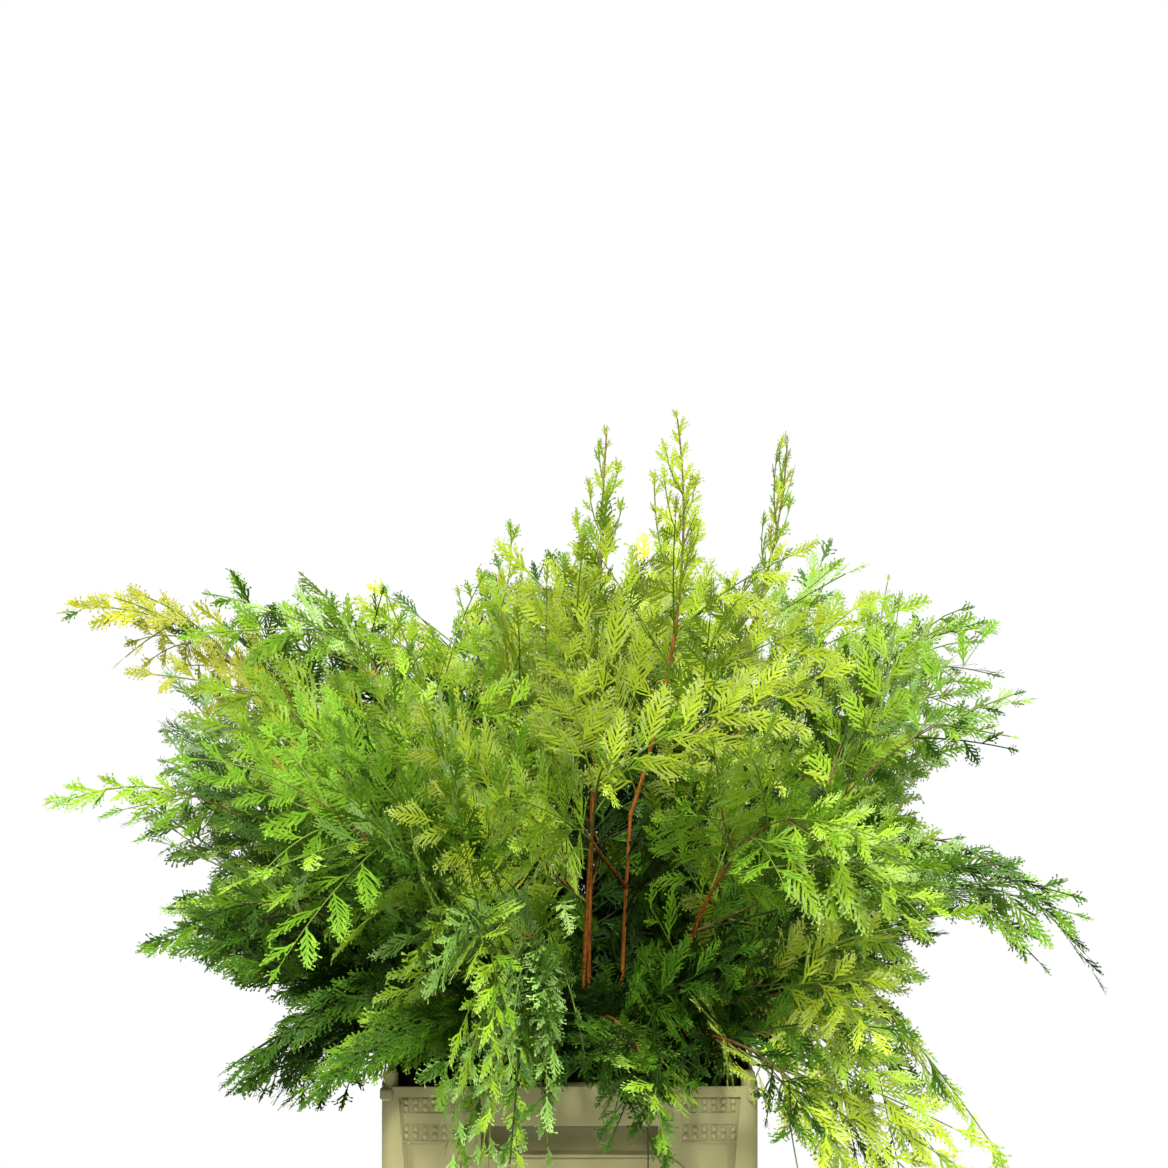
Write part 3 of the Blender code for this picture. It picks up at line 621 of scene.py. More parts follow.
def tubes(name, paths, inputs):
    """One mesh of tubes along paths, each given as its points and the radius at each."""
    curve = bpy.data.curves.new(name, "CURVE")
    curve.dimensions = "3D"
    for points, radii in paths:
        spline = curve.splines.new("POLY")
        spline.points.add(len(points) - 1)
        spline.points.foreach_set("co", np.column_stack([points, np.ones(len(points))]).ravel())
        spline.points.foreach_set("radius", np.asarray(radii, float))
    thing = bpy.data.objects.new(name, curve)
    bpy.context.scene.collection.objects.link(thing)
    return grown(thing, bark_tube, inputs)


RED_BARK, RED_FURROW, RED_RELIEF = (0.38, 0.125, 0.010, 1), (0.12, 0.038, 0.003, 1), 0.0006
STEM_POINTS, SLIM = 40, 0.68
red_bark = bark_material("reddish_bark", RED_BARK, RED_FURROW, RED_RELIEF)
stem_radii = SLIM * limb_radius(np.linspace(0, 1, STEM_POINTS))
stems = tubes("bare_stems", [(limb_path(name, STEM_POINTS), stem_radii) for name in BRANCHES], {
    "Sides": 10, "Ring spacing": 0.0045, "Relief": 0.0005, "Relief per metre": 260.0, "Material": red_bark})
finish_piece(stems, None, [f"stem_{name}" for name in BRANCHES])

# Leafy boughs: where the bare wood ends, or beside it, a thin stem arches out to each tip, with side twigs
# that alternate left and right of it. Each is brown wood towards its end and reddish nearer the limb.
SHOOT_ARCH_SHARE, SHOOT_OPENING, SHOOT_LIFT = 0.42, 0.40, 0.16
LOOK_AHEAD = 0.02
UP = np.array([0.0, 0.0, 1.0])


def turned(vector, axis, degrees):
    return np.array(Matrix.Rotation(math.radians(degrees), 3, Vector(axis)) @ Vector(vector))


def square_to(normal, along):
    """The direction nearest to a given one that is square to another."""
    return unit(normal - along * (normal @ along))


def path_length(path):
    return np.linalg.norm(np.diff(path, axis=0), axis=1).sum()


def along_path(path, share):
    """The point at a share of a path's length, by straight runs between its evenly spread points."""
    at = min(max(share, 0), 1) * (len(path) - 1)
    i = min(int(at), len(path) - 2)
    return path[i] + (path[i + 1] - path[i]) * (at - i)


def part_of(path, last, count):
    """The first stretch of a path, as far as a share of its length."""
    return np.array([along_path(path, share) for share in np.linspace(0, last, count)])


def heading(path, share, ahead=LOOK_AHEAD, back=LOOK_AHEAD):
    """The way that a path runs at a share of its length."""
    return unit(along_path(path, share + ahead) - along_path(path, share - back))


def shoot_bend(name, root, along):
    """The point that a side shoot arches towards, out from its limb, and its tip."""
    azimuth, reach, height = SIDE_SHOOTS[name][2:]
    end = polar(azimuth, reach, height)
    run = end - root
    away = run - along * (run @ along)
    middle = root + SHOOT_ARCH_SHARE * run + SHOOT_OPENING * away
    middle[2] = max(root[2], middle[2]) + SHOOT_LIFT * np.linalg.norm(run[:2])
    return middle, end


def bough_start(name):
    """Where a leafy bough starts on its limb, and the way it sets off."""
    if name in BRANCHES:
        return limb_at(name, 1)
    branch, share = SIDE_SHOOTS[name][:2]
    root, along = limb_at(branch, share)
    return root, unit(shoot_bend(name, root, along)[0] - root)


# How far a bough bows out from its plain arch, in x and in z.
BOUGH_BOW = {"spire_front": (0.026, 0), "spire_right": (0.028, 0), "right_weep": (-0.030, -0.010),
             "right_mid": (0, 0.030), "gold_left_lower": (0, 0.030), "left_fan": (0.010, 0.010),
             "left_skirt": (0, 0.020)}


def bough_axis(name, count):
    """Centre line of a leafy bough, from its limb to its furthest tip."""
    shares = np.linspace(0, 1, count)
    side, up = BOUGH_BOW.get(name, (0, 0))
    bow = 4 * (shares * (1 - shares))[:, None] * np.array([side, 0, up])
    start = bough_start(name)[0]
    if name in BRANCHES:
        bare = bare_share(name)
        path = bezier(branch_controls(name), bare + (1 - bare) * shares) + bow
        path[0] = start
        return path
    return bezier([start, *shoot_bend(name, start, limb_at(*SIDE_SHOOTS[name][:2])[1])], shares) + bow


# Which way the tints fall, bough by bough: the one that most sprays have, and the other. A "deep" tint on the
# low and drooping boughs is painted shade.
BOUGH_TINTS = {
    "spire_mid": ("lime", "fresh"), "spire_front": ("lime", "lime"), "spire_right": ("fresh", "lime"),
    "spire_left": ("lime", "fresh"), "crown_left": ("fresh", "forest"), "gold_left": ("gold", "gold"),
    "left_sprig": ("fresh", "blue"), "left_low": ("forest", "deep"), "front_left": ("forest", "fresh"),
    "front_weep": ("blue", "fresh"), "front_mid": ("fresh", "lime"), "front_right": ("fresh", "forest"),
    "right_weep": ("fresh", "lime"), "right_droop": ("deep", "forest"), "right_tip": ("fresh", "forest"),
    "right_crown": ("fresh", "forest"), "back_right": ("forest", "fresh"), "back_mid": ("forest", "fresh"),
    "back_weep": ("forest", "fresh"), "back_left": ("fresh", "forest"), "back_crown": ("fresh", "forest"),
    "gold_left_lower": ("blue", "forest"), "left_fan": ("blue", "fresh"), "left_skirt": ("deep", "deep"),
    "front_left_upper": ("forest", "fresh"), "weep_left": ("forest", "blue"), "front_skirt": ("deep", "deep"),
    "right_low": ("lime", "fresh"), "right_skirt": ("lime", "fresh"), "right_mid": ("forest", "fresh"),
    "right_upper": ("fresh", "forest"), "back_right_skirt": ("forest", "deep"),
    "back_left_low": ("forest", "deep"), "heart_front": ("fresh", "lime"), "heart_back": ("fresh", "forest"),
    "heart_left": ("fresh", "forest"),
}
TINTS, DARK_TINTS = ("shade", "deep", "forest", "fresh", "lime", "gold", "blue"), ("shade", "deep")
MAIN_TINT_SHARE, DEEP_ANYWHERE, DARKER_SHARE = 0.66, 0.09, 0.65
# Painted shade: dark tints stand in for the shade in the crown's core and low down, less of it on the right
# and none low on BRIGHT_LOW boughs.
LOW_DARK_BELOW, LOW_DARK, RIGHT_FROM, RIGHT_LIGHT = 0.54, 1.9, 0.07, 0.2
CORE_CENTRE, CORE_HALF = (0.0, 0.12, 0.43), (0.28, 0.24, 0.21)
CORE_FROM, CORE_TO, CORE_PAINTED_SHADE = 0.42, 0.86, 0.85
BRIGHT_LOW = ("front_weep", "right_weep")

# The crown's edge as seen from the camera's place, (x, z) on the plane y = 0: sprays stop there. Its points
# are read off the photo.
CAMERA_Y, CAMERA_X, CAMERA_Z = -2.2, 0.011, 0.715
LEAST_RISE = 1e-9
CROWN_EDGE = np.array([
    (-0.098, 0.172), (-0.112, 0.255), (-0.12, 0.297), (-0.167, 0.295), (-0.19, 0.272), (-0.232, 0.273),
    (-0.299, 0.286), (-0.301, 0.303), (-0.26, 0.328), (-0.24, 0.361), (-0.278, 0.374), (-0.328, 0.401),
    (-0.365, 0.399), (-0.369, 0.413), (-0.33, 0.426), (-0.347, 0.445), (-0.305, 0.465), (-0.299, 0.481),
    (-0.369, 0.485), (-0.377, 0.498), (-0.357, 0.512), (-0.429, 0.51), (-0.448, 0.518), (-0.446, 0.535),
    (-0.417, 0.557), (-0.355, 0.557), (-0.347, 0.582), (-0.349, 0.611), (-0.307, 0.619), (-0.392, 0.624),
    (-0.397, 0.644), (-0.375, 0.666), (-0.436, 0.683), (-0.436, 0.7), (-0.362, 0.718), (-0.312, 0.707),
    (-0.293, 0.733), (-0.273, 0.73), (-0.255, 0.703), (-0.236, 0.703), (-0.229, 0.733), (-0.209, 0.713),
    (-0.159, 0.72), (-0.129, 0.7), (-0.11, 0.675), (-0.095, 0.683), (-0.099, 0.714), (-0.078, 0.733),
    (-0.06, 0.725), (-0.073, 0.77), (-0.034, 0.784), (-0.026, 0.745), (-0.004, 0.745), (0.001, 0.778),
    (0.011, 0.790), (0.014, 0.828), (0.029, 0.853), (0.050, 0.806), (0.045, 0.765), (0.036, 0.728),
    (0.050, 0.728), (0.056, 0.764), (0.068, 0.770), (0.062, 0.806), (0.070, 0.842), (0.092, 0.872),
    (0.112, 0.800), (0.118, 0.748), (0.126, 0.718), (0.148, 0.738), (0.158, 0.745), (0.162, 0.811),
    (0.180, 0.850), (0.190, 0.811), (0.184, 0.755), (0.196, 0.752), (0.225, 0.762), (0.245, 0.748),
    (0.272, 0.724), (0.266, 0.703), (0.281, 0.717), (0.315, 0.721), (0.354, 0.7), (0.367, 0.675),
    (0.331, 0.654), (0.362, 0.644), (0.398, 0.62), (0.371, 0.606), (0.382, 0.58), (0.362, 0.552),
    (0.329, 0.569), (0.303, 0.542), (0.281, 0.532), (0.312, 0.51), (0.362, 0.492), (0.44, 0.472),
    (0.442, 0.433), (0.452, 0.368), (0.385, 0.390), (0.352, 0.420), (0.320, 0.450), (0.334, 0.445),
    (0.312, 0.406), (0.278, 0.421), (0.256, 0.403), (0.302, 0.397), (0.302, 0.381), (0.255, 0.374),
    (0.292, 0.349), (0.302, 0.319), (0.33, 0.298), (0.335, 0.273), (0.377, 0.224), (0.391, 0.172),
    (0.166, 0.172), (0.162, 0.285), (0.149, 0.265), (0.138, 0.288), (0.12, 0.288), (0.111, 0.265),
    (0.098, 0.266), (0.092, 0.288), (0.085, 0.172), (0.024, 0.172), (0.018, 0.288), (-0.009, 0.288),
    (-0.016, 0.172)])


def as_seen(points):
    """Where the camera sees points: their x and z on the plane y = 0."""
    near = CAMERA_Y / (CAMERA_Y - points[:, 1])
    return CAMERA_X + (points[:, 0] - CAMERA_X) * near, CAMERA_Z + (points[:, 2] - CAMERA_Z) * near


def inside_edge(points):
    """Which points the camera sees inside the crown's edge."""
    x, z = as_seen(points)
    x0, z0 = CROWN_EDGE.T
    x1, z1 = np.roll(CROWN_EDGE, -1, axis=0).T
    spans = (z0[None] > z[:, None]) != (z1[None] > z[:, None])
    rise = np.where(z1 == z0, LEAST_RISE, z1 - z0)
    crossing = x0 + (z[:, None] - z0) * (x1 - x0) / rise
    return (spans & (x[:, None] < crossing)).sum(axis=1) % 2 == 1


# Bare stems that the camera sees: nothing grows close in front of them between these heights.
SEEN_STEMS, SEEN_LOW, SEEN_HIGH, SEEN_HALF = ("spire_front", "spire_mid"), 0.385, 0.565, 0.009
SEEN_POINTS = 60
seen_paths = [limb_path(name, SEEN_POINTS) for name in SEEN_STEMS]


def hides_stem(points):
    """Which points the camera sees in front of a stem that stays in sight."""
    hidden = np.zeros(len(points), bool)
    x, z = as_seen(points)
    for path in seen_paths:
        path_x, path_z = as_seen(path)
        over_it = np.abs(x - np.interp(z, path_z, path_x)) < SEEN_HALF
        in_front = points[:, 1] < np.interp(points[:, 2], path[:, 2], path[:, 1])
        hidden |= in_front & over_it & (z > SEEN_LOW) & (z < SEEN_HIGH)
    return hidden


CLEAR_OF_CONTAINER, PAST_CAD, LOWEST = 0.004, 0.014, 0.1
MOUTH_HALF_X, MOUTH_HALF_Y, MOUTH_LOW = 0.133, 0.168, 0.215


def off_container(points):
    """Which points are clear of the container, or well inside its mouth."""
    beside = np.abs(points[:, :2]) - (WIDTH_X / 2 + CLEAR_OF_CONTAINER, DEPTH_Y / 2 + CLEAR_OF_CONTAINER)
    above = points[:, 2] > HEIGHT + PEG_RISE + CLEAR_OF_CONTAINER
    mouth = (np.abs(points[:, :2]) < (MOUTH_HALF_X, MOUTH_HALF_Y)).all(axis=1) & (points[:, 2] > MOUTH_LOW)
    return above | mouth | (beside > 0).any(axis=1)


def is_clear(points):
    """True where all the points are clear of the container and inside the crown."""
    low, high = np.array(cad_low) - PAST_CAD, np.array(cad_high) + PAST_CAD
    reach = ((points > low) & (points < high)).all(axis=1) & (points[:, 2] > LOWEST)
    return bool((off_container(points) & reach & inside_edge(points) & ~hides_stem(points)).all())


# A spray: a thin rib, with feathers in one plane left and right of it. It looks outwards, to the light.
FRONT_PULL, FRONT_FROM, LIGHT_ABOVE = 0.12, 0.1, 0.5
FACING_OWN, FACING_OUT, FACING_UP, FACING_CHANCE = 0.45, 0.75, 0.35, 0.24
SPRAY_TRIES, SPRAY_BEND = (1, 0.75, 0.5), 0.10
AXIS_POINTS, AXIS_RADIUS, AXIS_TIP_RADIUS = 7, 0.0008, 0.0005
AXIS_SHARES = np.linspace(0, 1, AXIS_POINTS)
SPRAY_RIB_RADII = np.linspace(AXIS_RADIUS, AXIS_TIP_RADIUS, AXIS_POINTS)
FEATHER_STATION, FEATHER_SHARE, FEATHER_ANGLE, FEATHER_TIP_ANGLE = 0.0188, 0.52, 48, 34
FEATHER_LIFT, FEATHER_ROLL, ANGLE_CHANCE, LENGTH_CHANCE = -9, 8, 6, (0.85, 1.12)
FEATHER_FIRST, FEATHER_SPAN, FEATHER_END, STATION_CHANCE = 0.08, 0.88, 0.97, 0.15
FEATHER_AHEAD, FEATHER_BACK = 0.03, 0.1
SWELL_FROM, SWELL, TAPER_TO, TAPER_POWER = 0.6, 1.4, 1.06, 0.6
LEAST_FEATHERS, END_FEATHER, SHORTEST_FEATHER = 3, 0.24, 0.018
OUTER_FROM, OUTER_TO, OUTER_OPEN, OUTER_WIDER, LEAST_KEPT = 0.45, 0.85, 0.14, 0.5, 0.7
FEATHER_LENGTHS, FEATHER_KINDS, FEATHER_TRIES = (0.084, 0.058, 0.038, 0.023), 2, (1, 0.7, 0.45)
FEATHER_PLACES, FEATHER_SIDES = np.array([[0.5], [1.0]]), np.array([[-0.3], [0.3]])
FEATHER_DROOP = (-0.02, 0.12)
RIBBON_BOUGHS, RIBBON_SLIM, RIBBON_DENSE = ("front_weep", "weep_left"), 0.62, 0.5
SPIRES = ("spire_mid", "spire_front", "spire_right", "spire_left")


class Bough:
    """What grows on one leafy bough: twigs as paths with radii, and feathers as points with values."""

    def __init__(self, name, rng):
        self.name, self.rng = name, rng
        self.brown, self.green, self.ribs, self.dark_ribs, self.feathers = [], [], [], [], []
        self.stem = None
        self.slim = RIBBON_SLIM if name in RIBBON_BOUGHS else 1

    def facing(self, root, normal, along):
        """Which way a spray looks: partly as its bough does, mostly outwards, and square to its own run."""
        outwards = unit(root * (1, 1, 0) + (0, -math.copysign(FRONT_PULL, FRONT_FROM - root[1]), 0))
        chance = np.array([self.rng.gauss(0, 1) for _ in range(3)])
        if normal @ (outwards + (0, 0, LIGHT_ABOVE)) < 0:
            normal = -normal
        looks = FACING_OWN * normal + FACING_OUT * outwards + (0, 0, FACING_UP) + FACING_CHANCE * chance
        return square_to(looks, along)

    def add_spray(self, root, along, normal, length, share, sag, painted_shade=False):
        """One spray: a thin axis that droops as far as its last feather, with feathers left and right of it.
        It is shortened where it must be, and the answer tells whether there is room for it at all."""
        along = unit(along)
        normal = self.facing(root, normal, along)
        tint = self.tint(root, painted_shade)
        outer = min(1, max(0, (share - OUTER_FROM) / (OUTER_TO - OUTER_FROM)))
        for part in SPRAY_TRIES:
            size = part * length
            bend = along * size + np.cross(normal, along) * size * self.rng.uniform(-SPRAY_BEND, SPRAY_BEND)
            end = root + bend - (0, 0, sag * size / length)
            axis = bezier([root, root + along * size / 2, end], AXIS_SHARES)
            if is_clear(axis[2:]) and self.dress(self.spray_feathers(axis, normal, size, outer, tint)):
                last = np.linalg.norm(self.feathers[-1][0] - root) / np.linalg.norm(axis[-1] - root)
                # Sprays in the dark tints, mostly painted shade, get the near-black rib bark.
                ribs = self.dark_ribs if TINTS[tint] in DARK_TINTS else self.ribs
                ribs.append((part_of(axis, last, AXIS_POINTS), SPRAY_RIB_RADII))
                return True
        return False

    def spray_feathers(self, axis, normal, size, outer, tint):
        """The feathers of a spray: long in its middle, shorter towards its end, and one on its end."""
        rng, feathers = self.rng, []
        station = FEATHER_STATION * (RIBBON_DENSE if self.slim < 1 else 1 + OUTER_WIDER * OUTER_OPEN * outer)
        count = max(LEAST_FEATHERS, round(size / station))
        side = rng.choice((-1, 1))
        for i in range(count):
            at = FEATHER_END
            if i < count - 1:
                moved = i + rng.uniform(-STATION_CHANCE, STATION_CHANCE)
                at = FEATHER_FIRST + FEATHER_SPAN * moved / (count - 1)
            side = -side
            foot = along_path(axis, at)
            ahead = heading(axis, at, FEATHER_AHEAD, FEATHER_BACK)
            facing = square_to(normal, ahead)
            angle = self.slim * (FEATHER_ANGLE + (FEATHER_TIP_ANGLE - FEATHER_ANGLE) * at)
            angle += rng.uniform(-ANGLE_CHANCE, ANGLE_CHANCE)
            reach = FEATHER_SHARE * size * min(1, SWELL_FROM + SWELL * at) * (TAPER_TO - at) ** TAPER_POWER
            reach *= rng.uniform(*LENGTH_CHANCE)
            reach *= self.slim * (1 - OUTER_OPEN * outer)
            if i == count - 1:
                angle, reach = 0, END_FEATHER * size
            lifted = turned(facing, ahead, side * FEATHER_LIFT + rng.uniform(-FEATHER_ROLL, FEATHER_ROLL))
            way, reach = turned(ahead, lifted, side * angle), max(reach, SHORTEST_FEATHER)
            feathers.append(self.feather(foot, way, lifted, reach, side, tint))
        return feathers

    def dress(self, feathers):
        """Keeps the feathers that have room, where most of them do."""
        kept = list(filter(None, feathers))
        if len(kept) < LEAST_KEPT * len(feathers):
            return False
        self.feathers += kept
        return True

    def feather(self, foot, along, normal, length, side, tint):
        """One feather as its root, rotation, scale, kind, tint and droop, or None where it has no room."""
        rng = self.rng
        across = unit(np.cross(normal, along))
        normal = np.cross(along, across)
        for part in FEATHER_TRIES:
            size = part * length
            beside = foot + along * size * FEATHER_PLACES[0] + across * size * FEATHER_SIDES
            if is_clear(foot + along * size * FEATHER_PLACES) and off_container(beside).all():
                break
        else:
            return None
        group = int(np.argmin([abs(math.log(size / whole)) for whole in FEATHER_LENGTHS]))
        kind = (group * FEATHER_KINDS + rng.randrange(FEATHER_KINDS)) * 2 + (side > 0)
        turn = Matrix(np.column_stack([along, across, normal])).to_euler()
        droop = rng.uniform(*FEATHER_DROOP) * size
        return foot, tuple(turn), size / FEATHER_LENGTHS[group], kind, tint, droop

    def tint(self, root, painted_shade=False):
        """Painted shade: sprays in the crown's core, and low ones often, get a dark tint; the rest have their
        bough's tints.
        """
        rng = self.rng
        main, second = BOUGH_TINTS[self.name]
        away = np.linalg.norm((root - CORE_CENTRE) / CORE_HALF)
        # inner is the chance of painted shade in the core, low the chance of painted shade low down.
        inner = 1 if painted_shade else CORE_PAINTED_SHADE * min(1, max(0, (CORE_TO - away) / (CORE_TO - CORE_FROM)))
        low = 0 if self.name in BRIGHT_LOW else LOW_DARK * max(0, 1 - root[2] / LOW_DARK_BELOW)
        low *= RIGHT_LIGHT if root[0] > RIGHT_FROM else 1
        if rng.random() < inner:
            return TINTS.index("shade" if rng.random() < DARKER_SHARE else "deep")
        if rng.random() < low:
            return TINTS.index("deep" if rng.random() < DARKER_SHARE else "forest")
        if rng.random() < DEEP_ANYWHERE and self.name not in SPIRES:
            return TINTS.index("deep")
        return TINTS.index(main if rng.random() < MAIN_TINT_SHARE else second)


# The tips of upright shoots: small feathers all along, on the shoot and on a few thin side shoots.
SPIRE_FROM, UPRIGHT_STATION, UPRIGHT_FEATHER = 0.46, 0.0115, 0.032
UPRIGHT_AHEAD, UPRIGHT_BACK, UPRIGHT_LONGEST, UPRIGHT_SHORTER = 0.02, 0.04, 1.10, 0.45
UPRIGHT_CHANCE, UPRIGHT_ANGLE, UPRIGHT_CLOSING, UPRIGHT_GAP = (0.65, 1.2), (22, 40), 0.35, (0.7, 1.4)
SPIRE_TIP = 0.008
UPRIGHT_SHOOTS, UPRIGHT_SHOOT, SHOOTS_PAST, SHOOTS_TO = 6, 0.085, 0.04, 0.84
SHOOT_LONGEST, SHOOT_CHANCE, SHOOT_ANGLE, SHOOT_TRIES = 1.5, (0.75, 1.2), (24, 40), (1, 0.6)
SHOOT_OUT, SHOOT_UP, SHOOT_BARE, SHOOT_FEATHER = 0.6, 0.5, 0.18, 0.65


def upright_feathers(bough, path, first, reach, flat):
    """Small feathers along an upright shoot, past a share of its length, and one at its tip."""
    rng, share, side, feathers = bough.rng, first, bough.rng.choice((-1, 1)), []
    size = path_length(path)
    while share < 1:
        side = -side
        root = along_path(path, share)
        along = heading(path, share, UPRIGHT_AHEAD, UPRIGHT_BACK)
        normal = bough.facing(root, flat, along)
        past = (share - first) / (1 - first)
        length = reach * (UPRIGHT_LONGEST - UPRIGHT_SHORTER * past) * rng.uniform(*UPRIGHT_CHANCE)
        way = turned(along, normal, side * (rng.uniform(*UPRIGHT_ANGLE) * (1 - UPRIGHT_CLOSING * past)))
        feathers.append(bough.feather(root, way, normal, length, side, bough.tint(root)))
        share += UPRIGHT_STATION / size * rng.uniform(*UPRIGHT_GAP)
    tip = along_path(path, 1 - SPIRE_TIP / size)
    feathers.append(bough.feather(tip, along, normal, SHORTEST_FEATHER, side, bough.tint(root)))
    return feathers


def grow_spire_top(bough, whole, flat):
    """The top of an upright shoot, with a few thin side shoots that turn up beside it."""
    rng, side = bough.rng, bough.rng.choice((-1, 1))
    bough.dress(upright_feathers(bough, whole, SPIRE_FROM, UPRIGHT_FEATHER, flat))
    for share in np.linspace(SPIRE_FROM + SHOOTS_PAST, SHOOTS_TO, UPRIGHT_SHOOTS):
        side = -side
        root = along_path(whole, share)
        along = heading(whole, share)
        normal = bough.facing(root, flat, along)
        length = UPRIGHT_SHOOT * (SHOOT_LONGEST - share) * rng.uniform(*SHOOT_CHANCE)
        leave = turned(along, normal, side * rng.uniform(*SHOOT_ANGLE))
        for part in SHOOT_TRIES:
            reach = part * length
            end = root + (leave * SHOOT_OUT + along * SHOOT_UP) * reach
            path = bezier([root, root + leave * reach / 2, end], AXIS_SHARES)
            if not is_clear(path):
                continue
            if bough.dress(upright_feathers(bough, path, SHOOT_BARE, SHOOT_FEATHER * UPRIGHT_FEATHER, flat)):
                bough.ribs.append((path, SPRAY_RIB_RADII))
                break


# Along a bough: sprays left and right of its stem, and short side twigs with three sprays each.
SEED, FINE, STEM_STEPS, MASS_ROLL = 31, 25, 24, (25, 75)
TWIG_RADIUS, SIDE_TWIG_RADIUS, TWIG_TIP_RADIUS = 0.0019, 0.0013, 0.0006
TIP_SPRAY_LENGTH, TIP_SPRAY_BACK, TIP_SPRAY_LONGER, TIP_SPRAY_SAG = 0.105, 0.8, 1.1, 0.012
TIP_FURTHEST_BACK, TIP_STEP_BACK = 0.5, 0.04
TIP_FROM, TIP_FEATHER = 0.62, 0.040
SPRAY_STATION, RIBBON_STATION, LEAST_SPRAYS, FIRST_SPRAY = 0.025, 0.012, 4, 0.6
ROLL, ROLL_WIDER = 18, 1.6
SPRAY_SAG, SAG_FROM, RIBBON_SAG, RIBBON_SAG_MORE = (0.004, 0.030), 0.5, 0.075, 0.4
HANGING, HANGING_SAG = ("right_weep", "right_skirt", "right_low", "back_weep"), 0.05
SPRAY_SHORTER, SPRAY_CHANCE, SPRAY_LENGTH = 0.38, (0.85, 1.1), 0.195
SPRAY_LEAN, RIBBON_LEAN, LEAN_CHANCE = 42, 26, (-8, 10)
SPRAY_TILT, TILT_CHANCE = 0.22, (0.2, 1.6)
OPEN_BOUGHS, OPEN_FROM, OPEN_SHORTER, OPEN_END = ("gold_left", "left_sprig", "right_droop"), 0.4, 0.85, 0.75
SPIRE_SPRAYS_PAST, SPARSE_ABOVE, SPARSE = 0.06, 0.685, 0.5
TWIG_EVERY, SIDE_TWIG_LENGTH, SIDE_TWIG_SHORTER, SIDE_TWIG_CHANCE = 3, 0.085, 0.45, (0.9, 1.15)
SIDE_TWIG_ANGLE, SIDE_TWIG_FORWARD, SIDE_TWIG_DROOP = 46, 0.35, 0.15
TWIG_END_SPRAY, TWIG_SIDE_SPRAY, TWIG_SIDE_PLACES = 0.155, 0.135, ((2, 1), (4, -1))
THIRD_EVERY, THIRD_SPRAY, THIRD_OUT = 3, 0.165, (0.6, 1.1)


def grow_side_twig(bough, root, along, normal, side, reach, share, sag):
    """A short twig beside the stem, with a spray on its end and one on each side, where it has room."""
    leave = turned(along, normal, side * SIDE_TWIG_ANGLE)
    length = SIDE_TWIG_LENGTH * (1 - SIDE_TWIG_SHORTER * share) * bough.rng.uniform(*SIDE_TWIG_CHANCE)
    bend = unit(leave + along * SIDE_TWIG_FORWARD - normal * SIDE_TWIG_DROOP)
    path = bezier([root, root + leave * length / 2, root + (leave + bend) * length / 2], AXIS_SHARES)
    if not is_clear(path[1:]):
        return
    if bough.add_spray(path[-1], path[-1] - path[-2], normal, TWIG_END_SPRAY * reach, share, sag):
        bough.green.append((path, np.linspace(SIDE_TWIG_RADIUS, TWIG_TIP_RADIUS, AXIS_POINTS)))
        for at, way in TWIG_SIDE_PLACES:
            leave = turned(unit(path[at + 1] - path[at]), normal, way * SPRAY_LEAN)
            bough.add_spray(path[at], leave, normal, TWIG_SIDE_SPRAY * reach, share, sag)


def grow_tip(bough, whole, flat):
    """The spray on a bough's end, set back until it has room, and small feathers on the bough's last stretch.
    The answer is where the stem ends."""
    size = path_length(whole)
    for back in np.arange(0, TIP_FURTHEST_BACK, TIP_STEP_BACK):
        stem_end = 1 - TIP_SPRAY_LENGTH * TIP_SPRAY_BACK / size - back
        end = along_path(whole, stem_end)
        onward = along_path(whole, stem_end + LOOK_AHEAD * 2) - end
        if bough.add_spray(end, onward, flat, TIP_SPRAY_LENGTH * TIP_SPRAY_LONGER, 1, TIP_SPRAY_SAG):
            break
    bough.feathers += filter(None, upright_feathers(bough, whole, TIP_FROM, TIP_FEATHER, flat))
    return stem_end


